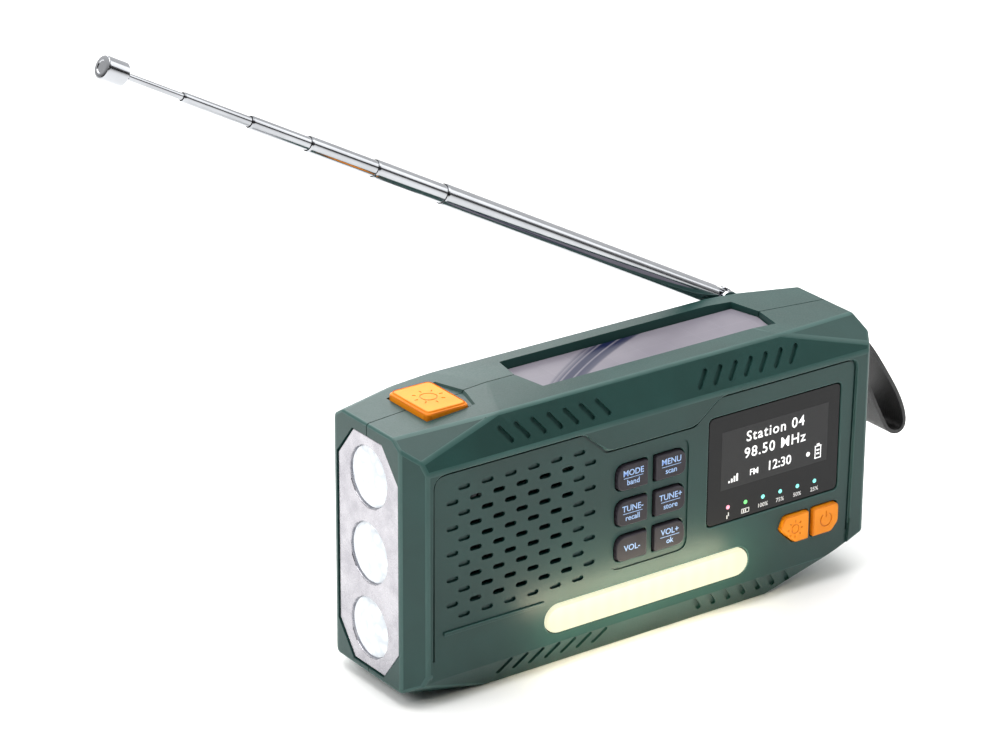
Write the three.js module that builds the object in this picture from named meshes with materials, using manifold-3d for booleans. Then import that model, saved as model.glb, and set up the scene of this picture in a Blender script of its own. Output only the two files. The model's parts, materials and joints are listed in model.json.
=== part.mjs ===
// Emergency radio with torch, reading lamp, solar panel, crank dynamo and telescopic antenna.
// Millimetres, +Z up, +X along the length, the front with display and keys faces -Y.
// The origin is the middle of the flat base.

import * as THREE from 'three';
import { mergeVertices } from 'three/addons/utils/BufferGeometryUtils.js';
import Module from 'manifold-3d';

const wasm = await Module();
wasm.setup();

// ---- driving dimensions -------------------------------------------------------------------

const body = { halfLength: 80, halfDepth: 22, wall: 2.2, seam: 0.3, middle: 40 };
const section = { baseY: 17.5, bandLow: 10.3, bandHigh: 69.3, topY: 17.4, topZ: 79.6, ridge: 80.2 };
const gap = 0.3;                          // running clearance between neighbouring pieces
const panelFloor = -21.2;                 // floor of the sunk front panel

const grille = { left: -67.11, pitch: 7.54, top: 62.98, rowPitch: 3.73, rows: 11, length: 3.9, width: 1.45 };
const speaker = { x: -44.5, z: 44.3, radius: 20 };
const keypad = { columns: [-7.75, 5.3], rows: [51.9, 41.3, 30.7], width: 10.3, height: 7.4, front: -21.95 };
const displayWindow = { left: 19.1, right: 66, low: 28.9, high: 61.5, front: -20.95 };
const readingLamp = { left: -36.3, right: 33.9, z: 15.5, height: 8.4, front: -21.9 };
const orangeButton = { low: 16.5, high: 25.1, front: -22.3 };
const torch = { centreZ: 39.8, pitch: 22.2, lens: 8.6, mouth: 8.9, back: -70.5 };
const solar = { left: -29.2, right: 50.2, halfWidth: 10.5, point: 2.2, top: 77.5, thickness: 2.2 };
const sos = { left: -67, right: -53.3, halfWidth: 9.3, top: 80.5, bottom: 75.4 };

const antenna = {
  pivot: [55, 19.6, 76.3],
  elevation: 28.1,                        // degrees above the horizontal, towards -X
  diameters: [6.1, 5.3, 4.55, 3.7, 2.8, 1.9],
  ends: [110.4, 135.1, 158.2, 178.1, 200.4, 218.7],
  lengths: [106.4, 97, 94, 91, 88, 85],
  wall: 0.25,
};
const crank = {
  x: 3, z: 51.5, reach: 44, hingeY: 22.4, armLow: 23.2, armHigh: 28.4,
  knobRadius: 6.5, knobLength: 12.4, dishRadius: 9.6, dishFloor: 13.2, slotFloor: 15.7,
};
const gears = {
  module: 1, crankTeeth: 40, smallTeeth: 10, largeTeeth: 30,
  compound: [3, 26.5], generatorAngle: -Math.PI / 6,
};
const cells = { left: -66.2, length: 44.5, radius: 5.25, y: 13.6, rows: [14.2, 25.2, 36.2] };
const door = { left: -66.6, right: -21.4, low: 8.9, high: 41.6 };
const ports = { left: 39, right: 67, low: 11, high: 27, padInner: 18 };
const strap = { x: 76.2, z: 66.8, width: 20, thickness: 1.2 };
const screws = [[-58, 65], [-17.5, 8.3], [70, 62], [70, 14]];

// ---- materials ----------------------------------------------------------------------------

function finish(color, roughness, metalness = 0) {
  return new THREE.MeshStandardMaterial({ color, roughness, metalness });
}

const looks = {
  shell: finish('#31504b', 0.45),
  orange: finish('#ffa733', 0.4),
  key: finish('#3f3a40', 0.5),
  window: finish('#3a3a3a', 0.15),
  light: finish('#fdf9dd', 0.4),
  clear: finish('#f4f6f8', 0.1),
  chrome: finish('#c9ccd0', 0.15, 1),
  solar: finish('#3a3c55', 0.15),
  board: finish('#2f6b3a', 0.6),
  steel: finish('#9a9ca0', 0.4, 1),
  dark: finish('#1b1b1d', 0.7),
  white: finish('#e8e6df', 0.5),
  cell: finish('#3c6ea8', 0.4),
  brass: finish('#b08d3c', 0.35, 1),
};

// ---- solids and outlines ------------------------------------------------------------------

function toSolid(geometry) {
  geometry.deleteAttribute('normal');
  geometry.deleteAttribute('uv');
  const merged = mergeVertices(geometry, 1e-5);
  return new wasm.Manifold(new wasm.Mesh({
    numProp: 3,
    vertProperties: new Float32Array(merged.attributes.position.array),
    triVerts: new Uint32Array(merged.index.array),
  }));
}

function toGeometry(solid) {
  const mesh = solid.getMesh();
  const geometry = new THREE.BufferGeometry();
  geometry.setAttribute('position', new THREE.BufferAttribute(mesh.vertProperties, 3));
  geometry.setIndex(new THREE.BufferAttribute(mesh.triVerts, 1));
  return geometry;
}

function extrude(shape, depth, segments = 4) {
  return new THREE.ExtrudeGeometry(shape, { depth, bevelEnabled: false, curveSegments: segments });
}

// The outline's two coordinates are X and Z; the prism runs from y0 to y1.
function alongY(shape, y0, y1, segments) {
  return toSolid(extrude(shape, y1 - y0, segments).rotateX(Math.PI / 2).translate(0, y1, 0));
}

// The outline's two coordinates are Y and Z; the prism runs from x0 to x1.
function alongX(shape, x0, x1, segments) {
  const turn = new THREE.Matrix4().makeBasis(
    new THREE.Vector3(0, 1, 0), new THREE.Vector3(0, 0, 1), new THREE.Vector3(1, 0, 0));
  return toSolid(extrude(shape, x1 - x0, segments).applyMatrix4(turn).translate(x0, 0, 0));
}

function alongZ(shape, z0, z1, segments) {
  return toSolid(extrude(shape, z1 - z0, segments).translate(0, 0, z0));
}

function box(x0, x1, y0, y1, z0, z1) {
  const geometry = new THREE.BoxGeometry(x1 - x0, y1 - y0, z1 - z0);
  return toSolid(geometry.translate((x0 + x1) / 2, (y0 + y1) / 2, (z0 + z1) / 2));
}

// A solid of revolution about the Y axis through (x, z), from [radius, y] pairs in rising y.
function turnedY(profile, x, z, segments = 16) {
  const points = profile.map(([radius, y]) => new THREE.Vector2(radius, y));
  return toSolid(new THREE.LatheGeometry(points, segments).translate(x, 0, z));
}

// The same about the X axis through (y, z), from [radius, x] pairs in rising x.
function turnedX(profile, y, z, segments = 16) {
  const points = profile.map(([radius, x]) => new THREE.Vector2(radius, x));
  return toSolid(new THREE.LatheGeometry(points, segments).rotateZ(-Math.PI / 2).translate(0, y, z));
}

// The same about the Z axis, from [radius, z] pairs in rising z.
function turnedZ(profile, segments = 12) {
  const points = profile.map(([radius, z]) => new THREE.Vector2(radius, z));
  return toSolid(new THREE.LatheGeometry(points, segments).rotateX(Math.PI / 2));
}

function rod(radius, low, high) {
  return [[0, low], [radius, low], [radius, high], [0, high]];
}

function polygon(points) {
  return new THREE.Shape(points.map(([a, b]) => new THREE.Vector2(a, b)));
}

// A polygon whose corners are rounded by [a, b, radius] points.
function roundedPolygon(corners) {
  const shape = new THREE.Shape();
  corners.forEach(([a, b, radius = 0], i) => {
    const corner = new THREE.Vector2(a, b);
    const before = new THREE.Vector2(...corners.at(i - 1)).sub(corner).setLength(radius);
    const after = new THREE.Vector2(...corners[(i + 1) % corners.length]).sub(corner).setLength(radius);
    if (i === 0) shape.moveTo(a + before.x, b + before.y);
    else shape.lineTo(a + before.x, b + before.y);
    if (radius > 0) shape.quadraticCurveTo(a, b, a + after.x, b + after.y);
  });
  shape.closePath();
  return shape;
}

function roundedBox(x0, x1, z0, z1, radius) {
  return roundedPolygon([[x0, z0, radius], [x1, z0, radius], [x1, z1, radius], [x0, z1, radius]]);
}

// A slot with round ends about (a, b), its length turned by angle.
function slotShape(a, b, length, width, angle = 0) {
  const half = (length - width) / 2;
  const [da, db] = [half * Math.cos(angle), half * Math.sin(angle)];
  const shape = new THREE.Shape();
  shape.absarc(a + da, b + db, width / 2, angle - Math.PI / 2, angle + Math.PI / 2, false);
  shape.absarc(a - da, b - db, width / 2, angle + Math.PI / 2, angle + 1.5 * Math.PI, false);
  shape.closePath();
  return shape;
}

// ---- the faceted case ---------------------------------------------------------------------

function facet(point, normal) {
  return { point: new THREE.Vector3(...point), normal: new THREE.Vector3(...normal).normalize() };
}

function facetThrough(a, b, c) {
  const [pa, pb, pc] = [a, b, c].map((p) => new THREE.Vector3(...p));
  const normal = pb.clone().sub(pa).cross(pc.sub(pa)).normalize();
  const outward = pa.clone().sub(new THREE.Vector3(0, 0, body.middle));
  if (normal.dot(outward) < 0) normal.negate();
  return { point: pa, normal };
}

// Every flat that bounds the case: faces, sloped bands, roof, ends and corner facets.
function caseFacets() {
  const list = [
    facet([0, 0, 0], [0, 0, -1]),
    facet([-body.halfLength, 0, 0], [-1, 0, 0]),
    facet([body.halfLength, 0, 0], [1, 0, 0]),
    facet([-50, 0, section.topZ], [-2.1, 0, 30]),
    facet([46, 0, section.topZ], [2.2, 0, 31.3]),
    facet([body.halfLength, 0, 69.5], [7.9, 0, 2.7]),
    facet([-61, 0, 0], [-4, 0, -19]),
    facet([50, 0, 0], [6.5, 0, -21]),
    facet([71, 0, 6.5], [9.5, 0, -9]),
  ];
  for (const side of [-1, 1]) {
    const rise = section.topZ - section.bandHigh;
    list.push(
      facet([0, side * body.halfDepth, 0], [0, side, 0]),
      facet([0, side * body.halfDepth, section.bandHigh],
        [0, side * rise, body.halfDepth - section.topY]),
      facet([0, side * body.halfDepth, section.bandLow],
        [0, side * section.bandLow, section.baseY - body.halfDepth]),
      facet([0, 0, section.ridge], [0, side * (section.ridge - section.topZ), section.topY]),
      facet([-75.5, side * body.halfDepth, 0], [-6.5, side * 4.5, 0]),
      facet([75.5, side * body.halfDepth, 0], [6.5, side * 4.5, 0]),
      facetThrough([-50, side * section.topY, section.topZ], [-77, side * 20.5, 72.5],
        [-80, side * 12, 77.5]),
      facetThrough([46, side * section.topY, section.topZ], [74.5, side * 20.8, 71.8],
        [77.3, side * 12, 77.4]),
      facetThrough([-53, side * section.baseY, 0], [-77, side * 20.7, 7.3], [-80, side * 13, 2.7]),
      facetThrough([44, side * section.baseY, 0], [74, side * 21.4, 12.5], [79, side * 13, 14]),
    );
  }
  return list;
}

function caseSolid(inset) {
  const reach = 400;
  const up = new THREE.Vector3(0, 0, 1);
  let solid = box(-90, 90, -30, 30, -10, 90);
  for (const { point, normal } of caseFacets()) {
    const beyond = new THREE.BoxGeometry(reach, reach, reach).translate(0, 0, reach / 2);
    beyond.applyQuaternion(new THREE.Quaternion().setFromUnitVectors(up, normal));
    beyond.translate(...point.clone().addScaledVector(normal, -inset).toArray());
    solid = solid.subtract(toSolid(beyond));
  }
  return solid;
}

const outerCase = caseSolid(0);
const innerCase = caseSolid(body.wall);
const hollowCase = outerCase.subtract(innerCase);

// Half of the space either side of the seam; side is -1 for the front half and 1 for the rear.
function halfSpace(side) {
  const edge = body.seam / 2;
  return side < 0 ? box(-200, 200, -100, -edge, -100, 200) : box(-200, 200, edge, 100, -100, 200);
}

// A locating tab of the front half laps under the rear half at the middle of the base.
function baseTab(clearance) {
  const [half, reach] = [12 + clearance, 6 + clearance];
  return box(-half, half, -1, reach, -1, body.wall + clearance);
}

// ---- openings shared by both halves -------------------------------------------------------

function pointedOutline(x0, x1, halfWidth, point) {
  return [[x0, -halfWidth], [x1, -halfWidth], [x1 + point, 0], [x1, halfWidth],
    [x0, halfWidth], [x0 - point, 0]];
}

// A pocket whose walls slope: it is larger at the top than at the bottom.
function slopedPocket(x0, x1, halfWidth, point, bottom, top, slope) {
  const shape = polygon(pointedOutline(x0, x1, halfWidth, point));
  const geometry = extrude(shape, top - bottom).translate(0, 0, bottom);
  const position = geometry.attributes.position;
  const middle = (x0 + x1) / 2;
  for (let i = 0; i < position.count; i++) {
    if (position.getZ(i) > bottom + 0.01) continue;
    position.setX(i, position.getX(i) - Math.sign(position.getX(i) - middle) * slope);
    position.setY(i, position.getY(i) - Math.sign(position.getY(i)) * slope);
  }
  return toSolid(geometry);
}

function torchOutline(inset) {
  const [y, z] = [14.3 - inset, 33.9 - inset];
  return polygon([[-7.2, -z], [7.2, -z], [y, -z + 9.3], [y, z - 9.3], [7, z], [-7, z],
    [-y, z - 9.3], [-y, -z + 9.3]].map(([a, b]) => [a, b + torch.centreZ]));
}

function sharedCuts() {
  const { left, right, halfWidth, point, top, thickness } = solar;
  return [
    slopedPocket(left - 1, right + 1, halfWidth, point, top, 81, 1),
    alongZ(polygon(pointedOutline(left - gap, right + gap, halfWidth - 1, point)),
      top - thickness - gap, 81),
    slopedPocket(sos.left - 2.6, sos.right + 3.4, sos.halfWidth + 1.6, 2.6, 78.9, 82, 2),
    box(sos.left - gap, sos.right + gap, -sos.halfWidth - gap, sos.halfWidth + gap, 70, 84),
    alongX(torchOutline(-gap), -90, -76),
    box(77, 90, -strap.width / 2 - 1, strap.width / 2 + 1, 60.8, 74),
  ];
}

function roofPads() {
  return box(-34, 56, -13.5, 13.5, 73.2, 81);
}

function strapBlocks(side) {
  const [near, far] = [strap.width / 2 + 1, strap.width / 2 + 4.2].map((y) => side * y);
  const block = box(72.8, 79, Math.min(near, far), Math.max(near, far), 63, 70.4);
  return block.subtract(turnedY(rod(1.4 + gap, -20, 20), strap.x, strap.z, 12));
}

function screwBosses(side) {
  const [low, high] = side < 0 ? [-20.5, -body.seam / 2] : [body.seam / 2, 20.5];
  return screws.map(([x, z]) => turnedY(rod(2.7, low, high), x, z, 12));
}

// ---- front shell --------------------------------------------------------------------------

function panelOutline() {
  return roundedPolygon([[-74, 5, 0], [70, 5, 0], [70.6, 20, 3], [71.4, 68.1, 3.4], [22.2, 68.1, 2.2],
    [13.6, 61.4, 2.2], [-16.4, 61.4, 2.2], [-24.4, 68.4, 2.2], [-73.6, 68.4, 4.4]]);
}

function keyShape(column, row, grow = 0) {
  const sign = column === 0 ? -1 : 1;
  const x = keypad.columns[column];
  const z = keypad.rows[row];
  const [w, h] = [keypad.width / 2 + grow, keypad.height / 2 + grow];
  const corners = [[x - sign * w, z - h, 0.5], [x + sign * w, z - h, 2.4],
    [x + sign * w, z + h, 3.2], [x - sign * w, z + h, 0.5]];
  return roundedPolygon(sign > 0 ? corners : corners.reverse());
}

function lightButtonShape(grow = 0) {
  const { low, high } = orangeButton;
  const g = grow;
  return roundedPolygon([[50.3 - g / 2, low - g, 1], [55.3 + g, low - g, 0.6], [55.3 + g, high + g, 0.8],
    [46.6 - g / 2, high + g, 1], [44.9 - g, 21.4, 1.2]]);
}

function powerButtonShape(grow = 0) {
  const { low, high } = orangeButton;
  const g = grow;
  return roundedPolygon([[56.9 - g, low - g, 0.6], [63.8 + g / 2, low - g, 0.8], [66.2 + g, 19.2, 0.9],
    [66.2 + g, high + g, 1.8], [56.9 - g, high + g, 0.8]]);
}

function lampShape(grow = 0) {
  const { left, right, z, height } = readingLamp;
  return slotShape((left + right) / 2, z, right - left + 2 * grow, height + 2 * grow);
}

function windowShape(grow = 0) {
  const { left, right, low, high } = displayWindow;
  return roundedBox(left - grow, right + grow, low - grow, high + grow, 1.8);
}

// Rows of short slots; those over the cone go through and the border ones are blind.
function grilleCuts() {
  const cuts = [];
  for (let row = 0; row < grille.rows; row++) {
    const count = row % 2 === 0 ? 6 : 7;
    const shift = row % 2 === 0 ? 0.5 : 0;
    for (let k = 0; k < count; k++) {
      const x = grille.left + (k + shift) * grille.pitch;
      const z = grille.top - row * grille.rowPitch;
      const border = row === 0 || row === grille.rows - 1 || k === 0 || k === count - 1;
      cuts.push(alongY(slotShape(x, z, grille.length, grille.width), -24, border ? -20.5 : -18, 2));
    }
  }
  return cuts;
}

// Slanted blind slots on the sloped bands above and below the front panel.
function bandSlotCuts() {
  const cuts = [];
  const along = new THREE.Vector3(1, 0, 0);
  for (const upper of [1, -1]) {
    const edge = upper > 0
      ? new THREE.Vector3(0, body.halfDepth - section.topY, section.topZ - section.bandHigh)
      : new THREE.Vector3(0, body.halfDepth - section.baseY, -section.bandLow);
    const slope = edge.clone().normalize();
    const outward = along.clone().cross(slope).multiplyScalar(upper);
    const slopeUp = slope.clone().multiplyScalar(upper);
    const start = new THREE.Vector3(0, -body.halfDepth, upper > 0 ? section.bandHigh : section.bandLow);
    for (const side of [-1, 1]) {
      for (let i = 0; i < 7; i++) {
        const x = side * (17 + i * 5.35);
        const centre = start.clone().addScaledVector(slope, 5.1).setX(x);
        const prism = extrude(slotShape(0, 0, 6.4, 1.5, Math.PI / 2 - side * upper * 0.64), 3, 2);
        prism.translate(0, 0, -0.7);
        const place = new THREE.Matrix4().makeBasis(along, slopeUp, outward).setPosition(centre);
        cuts.push(toSolid(prism.applyMatrix4(place)));
      }
    }
  }
  return cuts;
}

function frontShell() {
  let shell = hollowCase.intersect(halfSpace(-1)).add(hollowCase.intersect(baseTab(0)));
  shell = shell.add(roofPads().intersect(halfSpace(-1)).intersect(outerCase));
  shell = shell.add(strapBlocks(-1).intersect(outerCase));
  for (const boss of screwBosses(-1)) shell = shell.add(boss.intersect(outerCase));
  for (const [x, z] of screws) shell = shell.subtract(turnedY(rod(1.3, -17.5, 5), x, z, 10));
  const cuts = [
    alongY(panelOutline(), -30, panelFloor),
    alongY(roundedBox(-14.9, 11.9, 24.6, 58.4, 3.4), -30, panelFloor + 0.35),
    alongY(windowShape(gap), -30, -15),
    alongY(lampShape(gap), -30, -15, 8),
    alongY(lightButtonShape(gap), -30, -15),
    alongY(powerButtonShape(gap), -30, -15),
    ...grilleCuts(),
    ...bandSlotCuts(),
    ...sharedCuts(),
  ];
  for (const column of [0, 1]) {
    for (const row of [0, 1, 2]) cuts.push(alongY(keyShape(column, row, gap), -30, -15));
  }
  for (const cut of cuts) shell = shell.subtract(cut);
  return shell;
}

// ---- rear shell ---------------------------------------------------------------------------

function antennaChannel(grow) {
  const [y, z] = [15.5 - grow, 72.7 - grow];
  return alongX(roundedPolygon([[y, z, 0.9], [30, z], [30, 90], [y, 90]]), -90, 68 + grow);
}

// The recess that takes the folded crank, to either side of the hub: a dish for the hub, a slot for
// the arm and, at each end, a pocket long enough for the knob to swing in.
function crankRecess(grow) {
  const [slotWidth, pocketWidth, swing] = [15, 16.4, 10.4];
  const pocketFloor = 2 * crank.hingeY - crank.armHigh - gap - crank.knobLength - 0.5;
  const slot = slotShape(crank.x, crank.z, 2 * crank.reach + slotWidth + 2 * grow, slotWidth + 2 * grow);
  let recess = turnedY(rod(crank.dishRadius + grow, crank.dishFloor - grow, 30), crank.x, crank.z, 22)
    .add(alongY(slot, crank.slotFloor - grow, 30, 8));
  for (const side of [-1, 1]) {
    const [near, far] = [crank.reach - pocketWidth / 2, crank.reach + swing];
    const pocket = slotShape(crank.x + side * (near + far) / 2, crank.z,
      far - near + 2 * grow, pocketWidth + 2 * grow);
    recess = recess.add(alongY(pocket, pocketFloor - grow, 30, 9));
  }
  return recess;
}

function cellBay(grow) {
  return box(door.left - gap - grow, door.right + gap + grow, 7.9 - grow, 30,
    door.low - gap - grow, door.high + gap + grow);
}

function portCuts() {
  return [
    alongY(roundedBox(ports.left - gap, ports.right + gap, ports.low - gap, ports.high + gap, 3),
      20, 30),
    box(44 - 7, 44 + 7, 5, 30, 19 - 3.2, 19 + 3.2),
    alongY(slotShape(59, 19, 9.6, 3.8), 5, 30),
  ];
}

function rearShell() {
  let shell = hollowCase.intersect(halfSpace(1));
  const pads = [
    roofPads().intersect(halfSpace(1)),
    antennaChannel(1.8).subtract(box(-200, 200, 10, 40, 90, 100)),
    crankRecess(1.6),
    cellBay(1.4),
    box(ports.left - 2, ports.right + 2, ports.padInner, 22, ports.low - 2, ports.high + 2),
    ...screwBosses(1),
  ];
  for (const pad of pads) shell = shell.add(pad.intersect(outerCase));
  shell = shell.add(strapBlocks(1).intersect(outerCase));
  for (const [x, z] of screws) {
    shell = shell.subtract(turnedY(rod(1.3, -5, 30), x, z, 10));
    shell = shell.subtract(turnedY(rod(2.5, 17.5, 30), x, z, 16));
  }
  const cuts = [
    baseTab(gap), antennaChannel(0), crankRecess(0), cellBay(0), ...portCuts(), ...sharedCuts(),
    turnedY(rod(3 + gap, 5, 15), crank.x, crank.z, 16),
    turnedY(rod(2 + gap, 5, 17), antenna.pivot[0], antenna.pivot[2], 16),
  ];
  for (const cut of cuts) shell = shell.subtract(cut);
  return shell;
}

// ---- torch, lamp, display and controls ----------------------------------------------------

function lensCentres() {
  return [1, 0, -1].map((step) => torch.centreZ + step * torch.pitch);
}

// One plated moulding: a plate that fills the left end, with three cups.
function torchReflector() {
  let solid = alongX(torchOutline(0), -79.6, -77.6);
  for (const z of lensCentres()) {
    solid = solid.add(turnedX([[0, -78], [9.8, -78], [8.6, -75.4], [4.4, torch.back],
      [0, torch.back]], 0, z));
  }
  for (const z of lensCentres()) {
    solid = solid.subtract(turnedX([[0, -90], [torch.mouth, -90], [torch.mouth, -77.4], [8, -77.4],
      [6.8, -75], [2.6, torch.back + 0.6], [2.6, -60], [0, -60]], 0, z));
  }
  return solid;
}

function torchLens(z) {
  const r = torch.lens;
  return turnedX([[0, -79.9], [r * 0.5, -79.75], [r * 0.85, -79.4], [r, -79], [r, -77.7], [0, -77.7]], 0, z);
}

function torchBoard() {
  const start = torch.back + gap;
  let board = box(start, start + 1.4, -11, 11, 10, 70);
  for (const z of lensCentres()) {
    board = board.add(turnedX([[0, start - 3.2], [1.2, start - 2.8], [1.9, start - 1.6],
      [1.9, start + 0.5], [0, start + 0.5]], 0, z, 12));
  }
  return board;
}

function solarPanel() {
  const { left, right, halfWidth, point, top, thickness } = solar;
  return alongZ(polygon(pointedOutline(left, right, halfWidth - 1 - gap, point)), top - thickness, top);
}

function sosButton() {
  const { left, right, halfWidth, top, bottom } = sos;
  const block = alongZ(roundedBox(left, right, -halfWidth, halfWidth, 1.2), bottom, top - 0.5, 2);
  const crown = alongZ(roundedBox(left + 0.6, right - 0.6, -halfWidth + 0.6, halfWidth - 0.6, 1.2),
    top - 1, top, 2);
  return block.add(crown);
}

// A cap that stands through the panel, with a flange behind the wall that keeps it in.
function pushButton(shapeOf, front) {
  return alongY(shapeOf(0), front, -19).add(alongY(shapeOf(0.75), -19.4, -18.6));
}

function indicatorGuide() {
  let guide = box(24, 60.5, -18.6, -16.4, 31.4, 35.2);
  for (let i = 0; i < 6; i++) {
    guide = guide.add(turnedY(rod(0.9, -19.25, -18), 26.49 + 6.26 * i, 33.28, 8));
  }
  return guide;
}

// ---- speaker, boards and cells ------------------------------------------------------------

function speakerBasket() {
  const outer = turnedY([[0, -19.4], [20, -19.4], [20, -18.2], [18.4, -18.2], [9.5, -9], [0, -9]],
    speaker.x, speaker.z, 18);
  const inner = turnedY([[0, -25], [18.4, -25], [18.4, -19], [17.6, -18.6], [8.7, -9.8], [4, -9.8],
    [4, -5], [0, -5]], speaker.x, speaker.z, 18);
  return outer.subtract(inner);
}

function speakerCone() {
  return turnedY([[0, -13], [4, -12.4], [16.2, -18.7], [16.2, -18], [4.4, -11.6], [4.4, -11], [0, -11]],
    speaker.x, speaker.z, 18);
}

function speakerMagnet() {
  return turnedY([[0, -8.7], [10, -8.7], [10, -3], [0, -3]], speaker.x, speaker.z, 14);
}

function aaaCell(z) {
  const profile = [[0, cells.left], [cells.radius, cells.left],
    [cells.radius, cells.left + cells.length - 1], [1.9, cells.left + cells.length - 0.9],
    [1.9, cells.left + cells.length], [0, cells.left + cells.length]];
  return turnedX(profile, cells.y, z, 14);
}

// ---- antenna, built along its own +Z from the rivet ---------------------------------------

function antennaKnuckle() {
  let solid = turnedY(rod(2, -7.6, -3.5), 0, 0, 16).add(turnedY(rod(3.2, -3.7, -2.6), 0, 0, 20));
  for (const side of [-1, 1]) {
    const [near, far] = [1.45, 2.7].map((x) => side * x);
    const cheek = roundedPolygon([[-2.8, -2.2, 0.4], [2.2, -2.2, 1.8], [2.2, 2.2, 1.8], [-2.8, 2.2, 0.4]]);
    solid = solid.add(alongX(cheek, Math.min(near, far), Math.max(near, far)));
  }
  return solid.subtract(turnedX(rod(1.2, -5, 5), 0, 0, 12));
}

function antennaRivet() {
  return turnedX([[0, -3.5], [1.7, -3.2], [1.7, -3], [0.9, -3], [0.9, 3], [1.7, 3], [1.7, 3.2], [0, 3.5]],
    0, 0, 12);
}

function antennaBaseTube() {
  const radius = antenna.diameters[0] / 2;
  const lug = alongX(roundedPolygon([[-2.1, -2.1, 1.7], [2.1, -2.1, 1.7], [2.1, 5], [-2.1, 5]]), -1.15, 1.15);
  const tube = turnedZ([[0, 4], [radius - 0.5, 4], [radius, 4.6], [radius, antenna.ends[0] - 0.3],
    [radius - 0.2, antenna.ends[0]], [0, antenna.ends[0]]]);
  return lug.add(tube)
    .subtract(turnedZ(rod(radius - antenna.wall, 8, antenna.ends[0] + 5)))
    .subtract(turnedX(rod(1.2, -5, 5), 0, 0, 12));
}

function antennaSection(index) {
  const radius = antenna.diameters[index] / 2;
  const last = index === antenna.diameters.length - 1;
  const end = antenna.ends[index] + (last ? 3.8 : 0);
  const start = antenna.ends[index] - antenna.lengths[index];
  const outer = turnedZ([[0, start], [radius, start], [radius, end - 0.2], [radius - 0.12, end], [0, end]]);
  if (last) return outer;
  return outer.subtract(turnedZ(rod(radius - antenna.wall, start - 5, end + 5)));
}

function antennaTip() {
  const base = antenna.ends.at(-1) + gap;
  const cap = turnedZ([[0, base], [2.6, base], [3.2, base + 0.6], [3.2, base + 6.8], [2.9, base + 7.2],
    [0, base + 7.2]], 20);
  return cap.subtract(turnedZ(rod(1.2, base - 1, base + 4)));
}

// ---- crank and dynamo ---------------------------------------------------------------------

function crankHub() {
  let hub = turnedY(rod(8.8, 13.6, 15.5), crank.x, crank.z, 18)
    .add(turnedY(rod(3, 8.3, 14), crank.x, crank.z, 16));
  for (const side of [-1, 1]) {
    const [z0, z1] = side < 0 ? [-7.8, -5.2] : [5.2, 7.8];
    const ear = roundedPolygon([[-2.9, 15], [2.9, 15], [2.9, 25.2, 2.4], [-2.9, 25.2, 2.4]]);
    hub = hub.add(alongZ(ear, z0, z1).translate(crank.x, 0, crank.z));
  }
  return hub.subtract(hingeRod(1.3, -20, 20));
}

// A round bar along Z on the crank's folding axis.
function hingeRod(radius, z0, z1) {
  return turnedZ(rod(radius, z0, z1), 14).translate(crank.x, crank.hingeY, crank.z);
}

function crankArm() {
  const knobX = crank.x - crank.reach;
  const outline = roundedPolygon([[knobX - 6.6, crank.z - 6, 5], [-14, crank.z - 6, 3],
    [-6, crank.z - 4.8], [crank.x + 2.4, crank.z - 4.8, 1], [crank.x + 2.4, crank.z + 4.8, 1],
    [-6, crank.z + 4.8], [-14, crank.z + 6, 3], [knobX - 6.6, crank.z + 6, 5]]);
  return alongY(outline, crank.armLow, crank.armHigh)
    .add(hingeRod(2.5, -4.8, 4.8))
    .subtract(hingeRod(1.3, -20, 20))
    .subtract(turnedY(rod(1.6, 20, 40), knobX, crank.z, 12))
    .subtract(turnedY(rod(3, 20, crank.armLow + 1.8), knobX, crank.z, 14));
}

function crankKnob() {
  const [start, r] = [crank.armHigh + gap, crank.knobRadius];
  const end = start + crank.knobLength;
  const knob = turnedY([[0, start], [r - 0.9, start], [r, start + 1.2], [r - 0.5, start + 6],
    [r, end - 1.6], [r - 1.4, end], [0, end]], crank.x - crank.reach, crank.z, 16);
  return knob.subtract(turnedY(rod(1.5, start - 2, end - 2.5), crank.x - crank.reach, crank.z, 12));
}

function knobScrew() {
  const end = crank.armHigh + crank.knobLength - 2.8;
  return turnedY([[0, crank.armLow + 0.3], [2.5, crank.armLow + 0.3], [2.5, crank.armLow + 1.5],
    [1.2, crank.armLow + 1.5], [1.2, end], [0, end]], crank.x - crank.reach, crank.z, 12);
}

// Straight-flanked teeth, the first one centred on angle phase.
function gearShape(teeth, phase) {
  const pitch = teeth * gears.module / 2;
  const [tip, root] = [pitch + 0.82 * gears.module, pitch - 1.12 * gears.module];
  const half = (Math.PI * gears.module) / 4 - 0.14;
  const halfAt = (radius) => (half - (radius - pitch) * Math.tan(Math.PI / 9)) / radius;
  const points = [];
  for (let i = 0; i < teeth; i++) {
    const middle = phase + (i * 2 * Math.PI) / teeth;
    for (const [radius, sign] of [[root, -1], [tip, -1], [tip, 1], [root, 1]]) {
      const angle = middle + sign * halfAt(radius);
      points.push([radius * Math.cos(angle), radius * Math.sin(angle)]);
    }
  }
  return polygon(points);
}

// The generator's axis, one gear pair away from the compound gear.
function generatorCentre() {
  const distance = (gears.module * (gears.largeTeeth + gears.smallTeeth)) / 2;
  const [x, z] = gears.compound;
  return [x + distance * Math.cos(gears.generatorAngle), z + distance * Math.sin(gears.generatorAngle)];
}

function crankGear() {
  return alongY(gearShape(gears.crankTeeth, -Math.PI / 2), 8.6, 11)
    .subtract(turnedY(rod(3 + gap, 5, 15), 0, 0, 16))
    .translate(crank.x, 0, crank.z);
}

function compoundGear() {
  const [x, z] = gears.compound;
  const smallPhase = Math.PI / 2 + Math.PI / gears.smallTeeth;
  return alongY(gearShape(gears.largeTeeth, gears.generatorAngle), 5.4, 7.8)
    .add(alongY(gearShape(gears.smallTeeth, smallPhase), 7.6, 11.2))
    .subtract(turnedY(rod(1.8, 0, 15), 0, 0, 12))
    .translate(x, 0, z);
}

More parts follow.
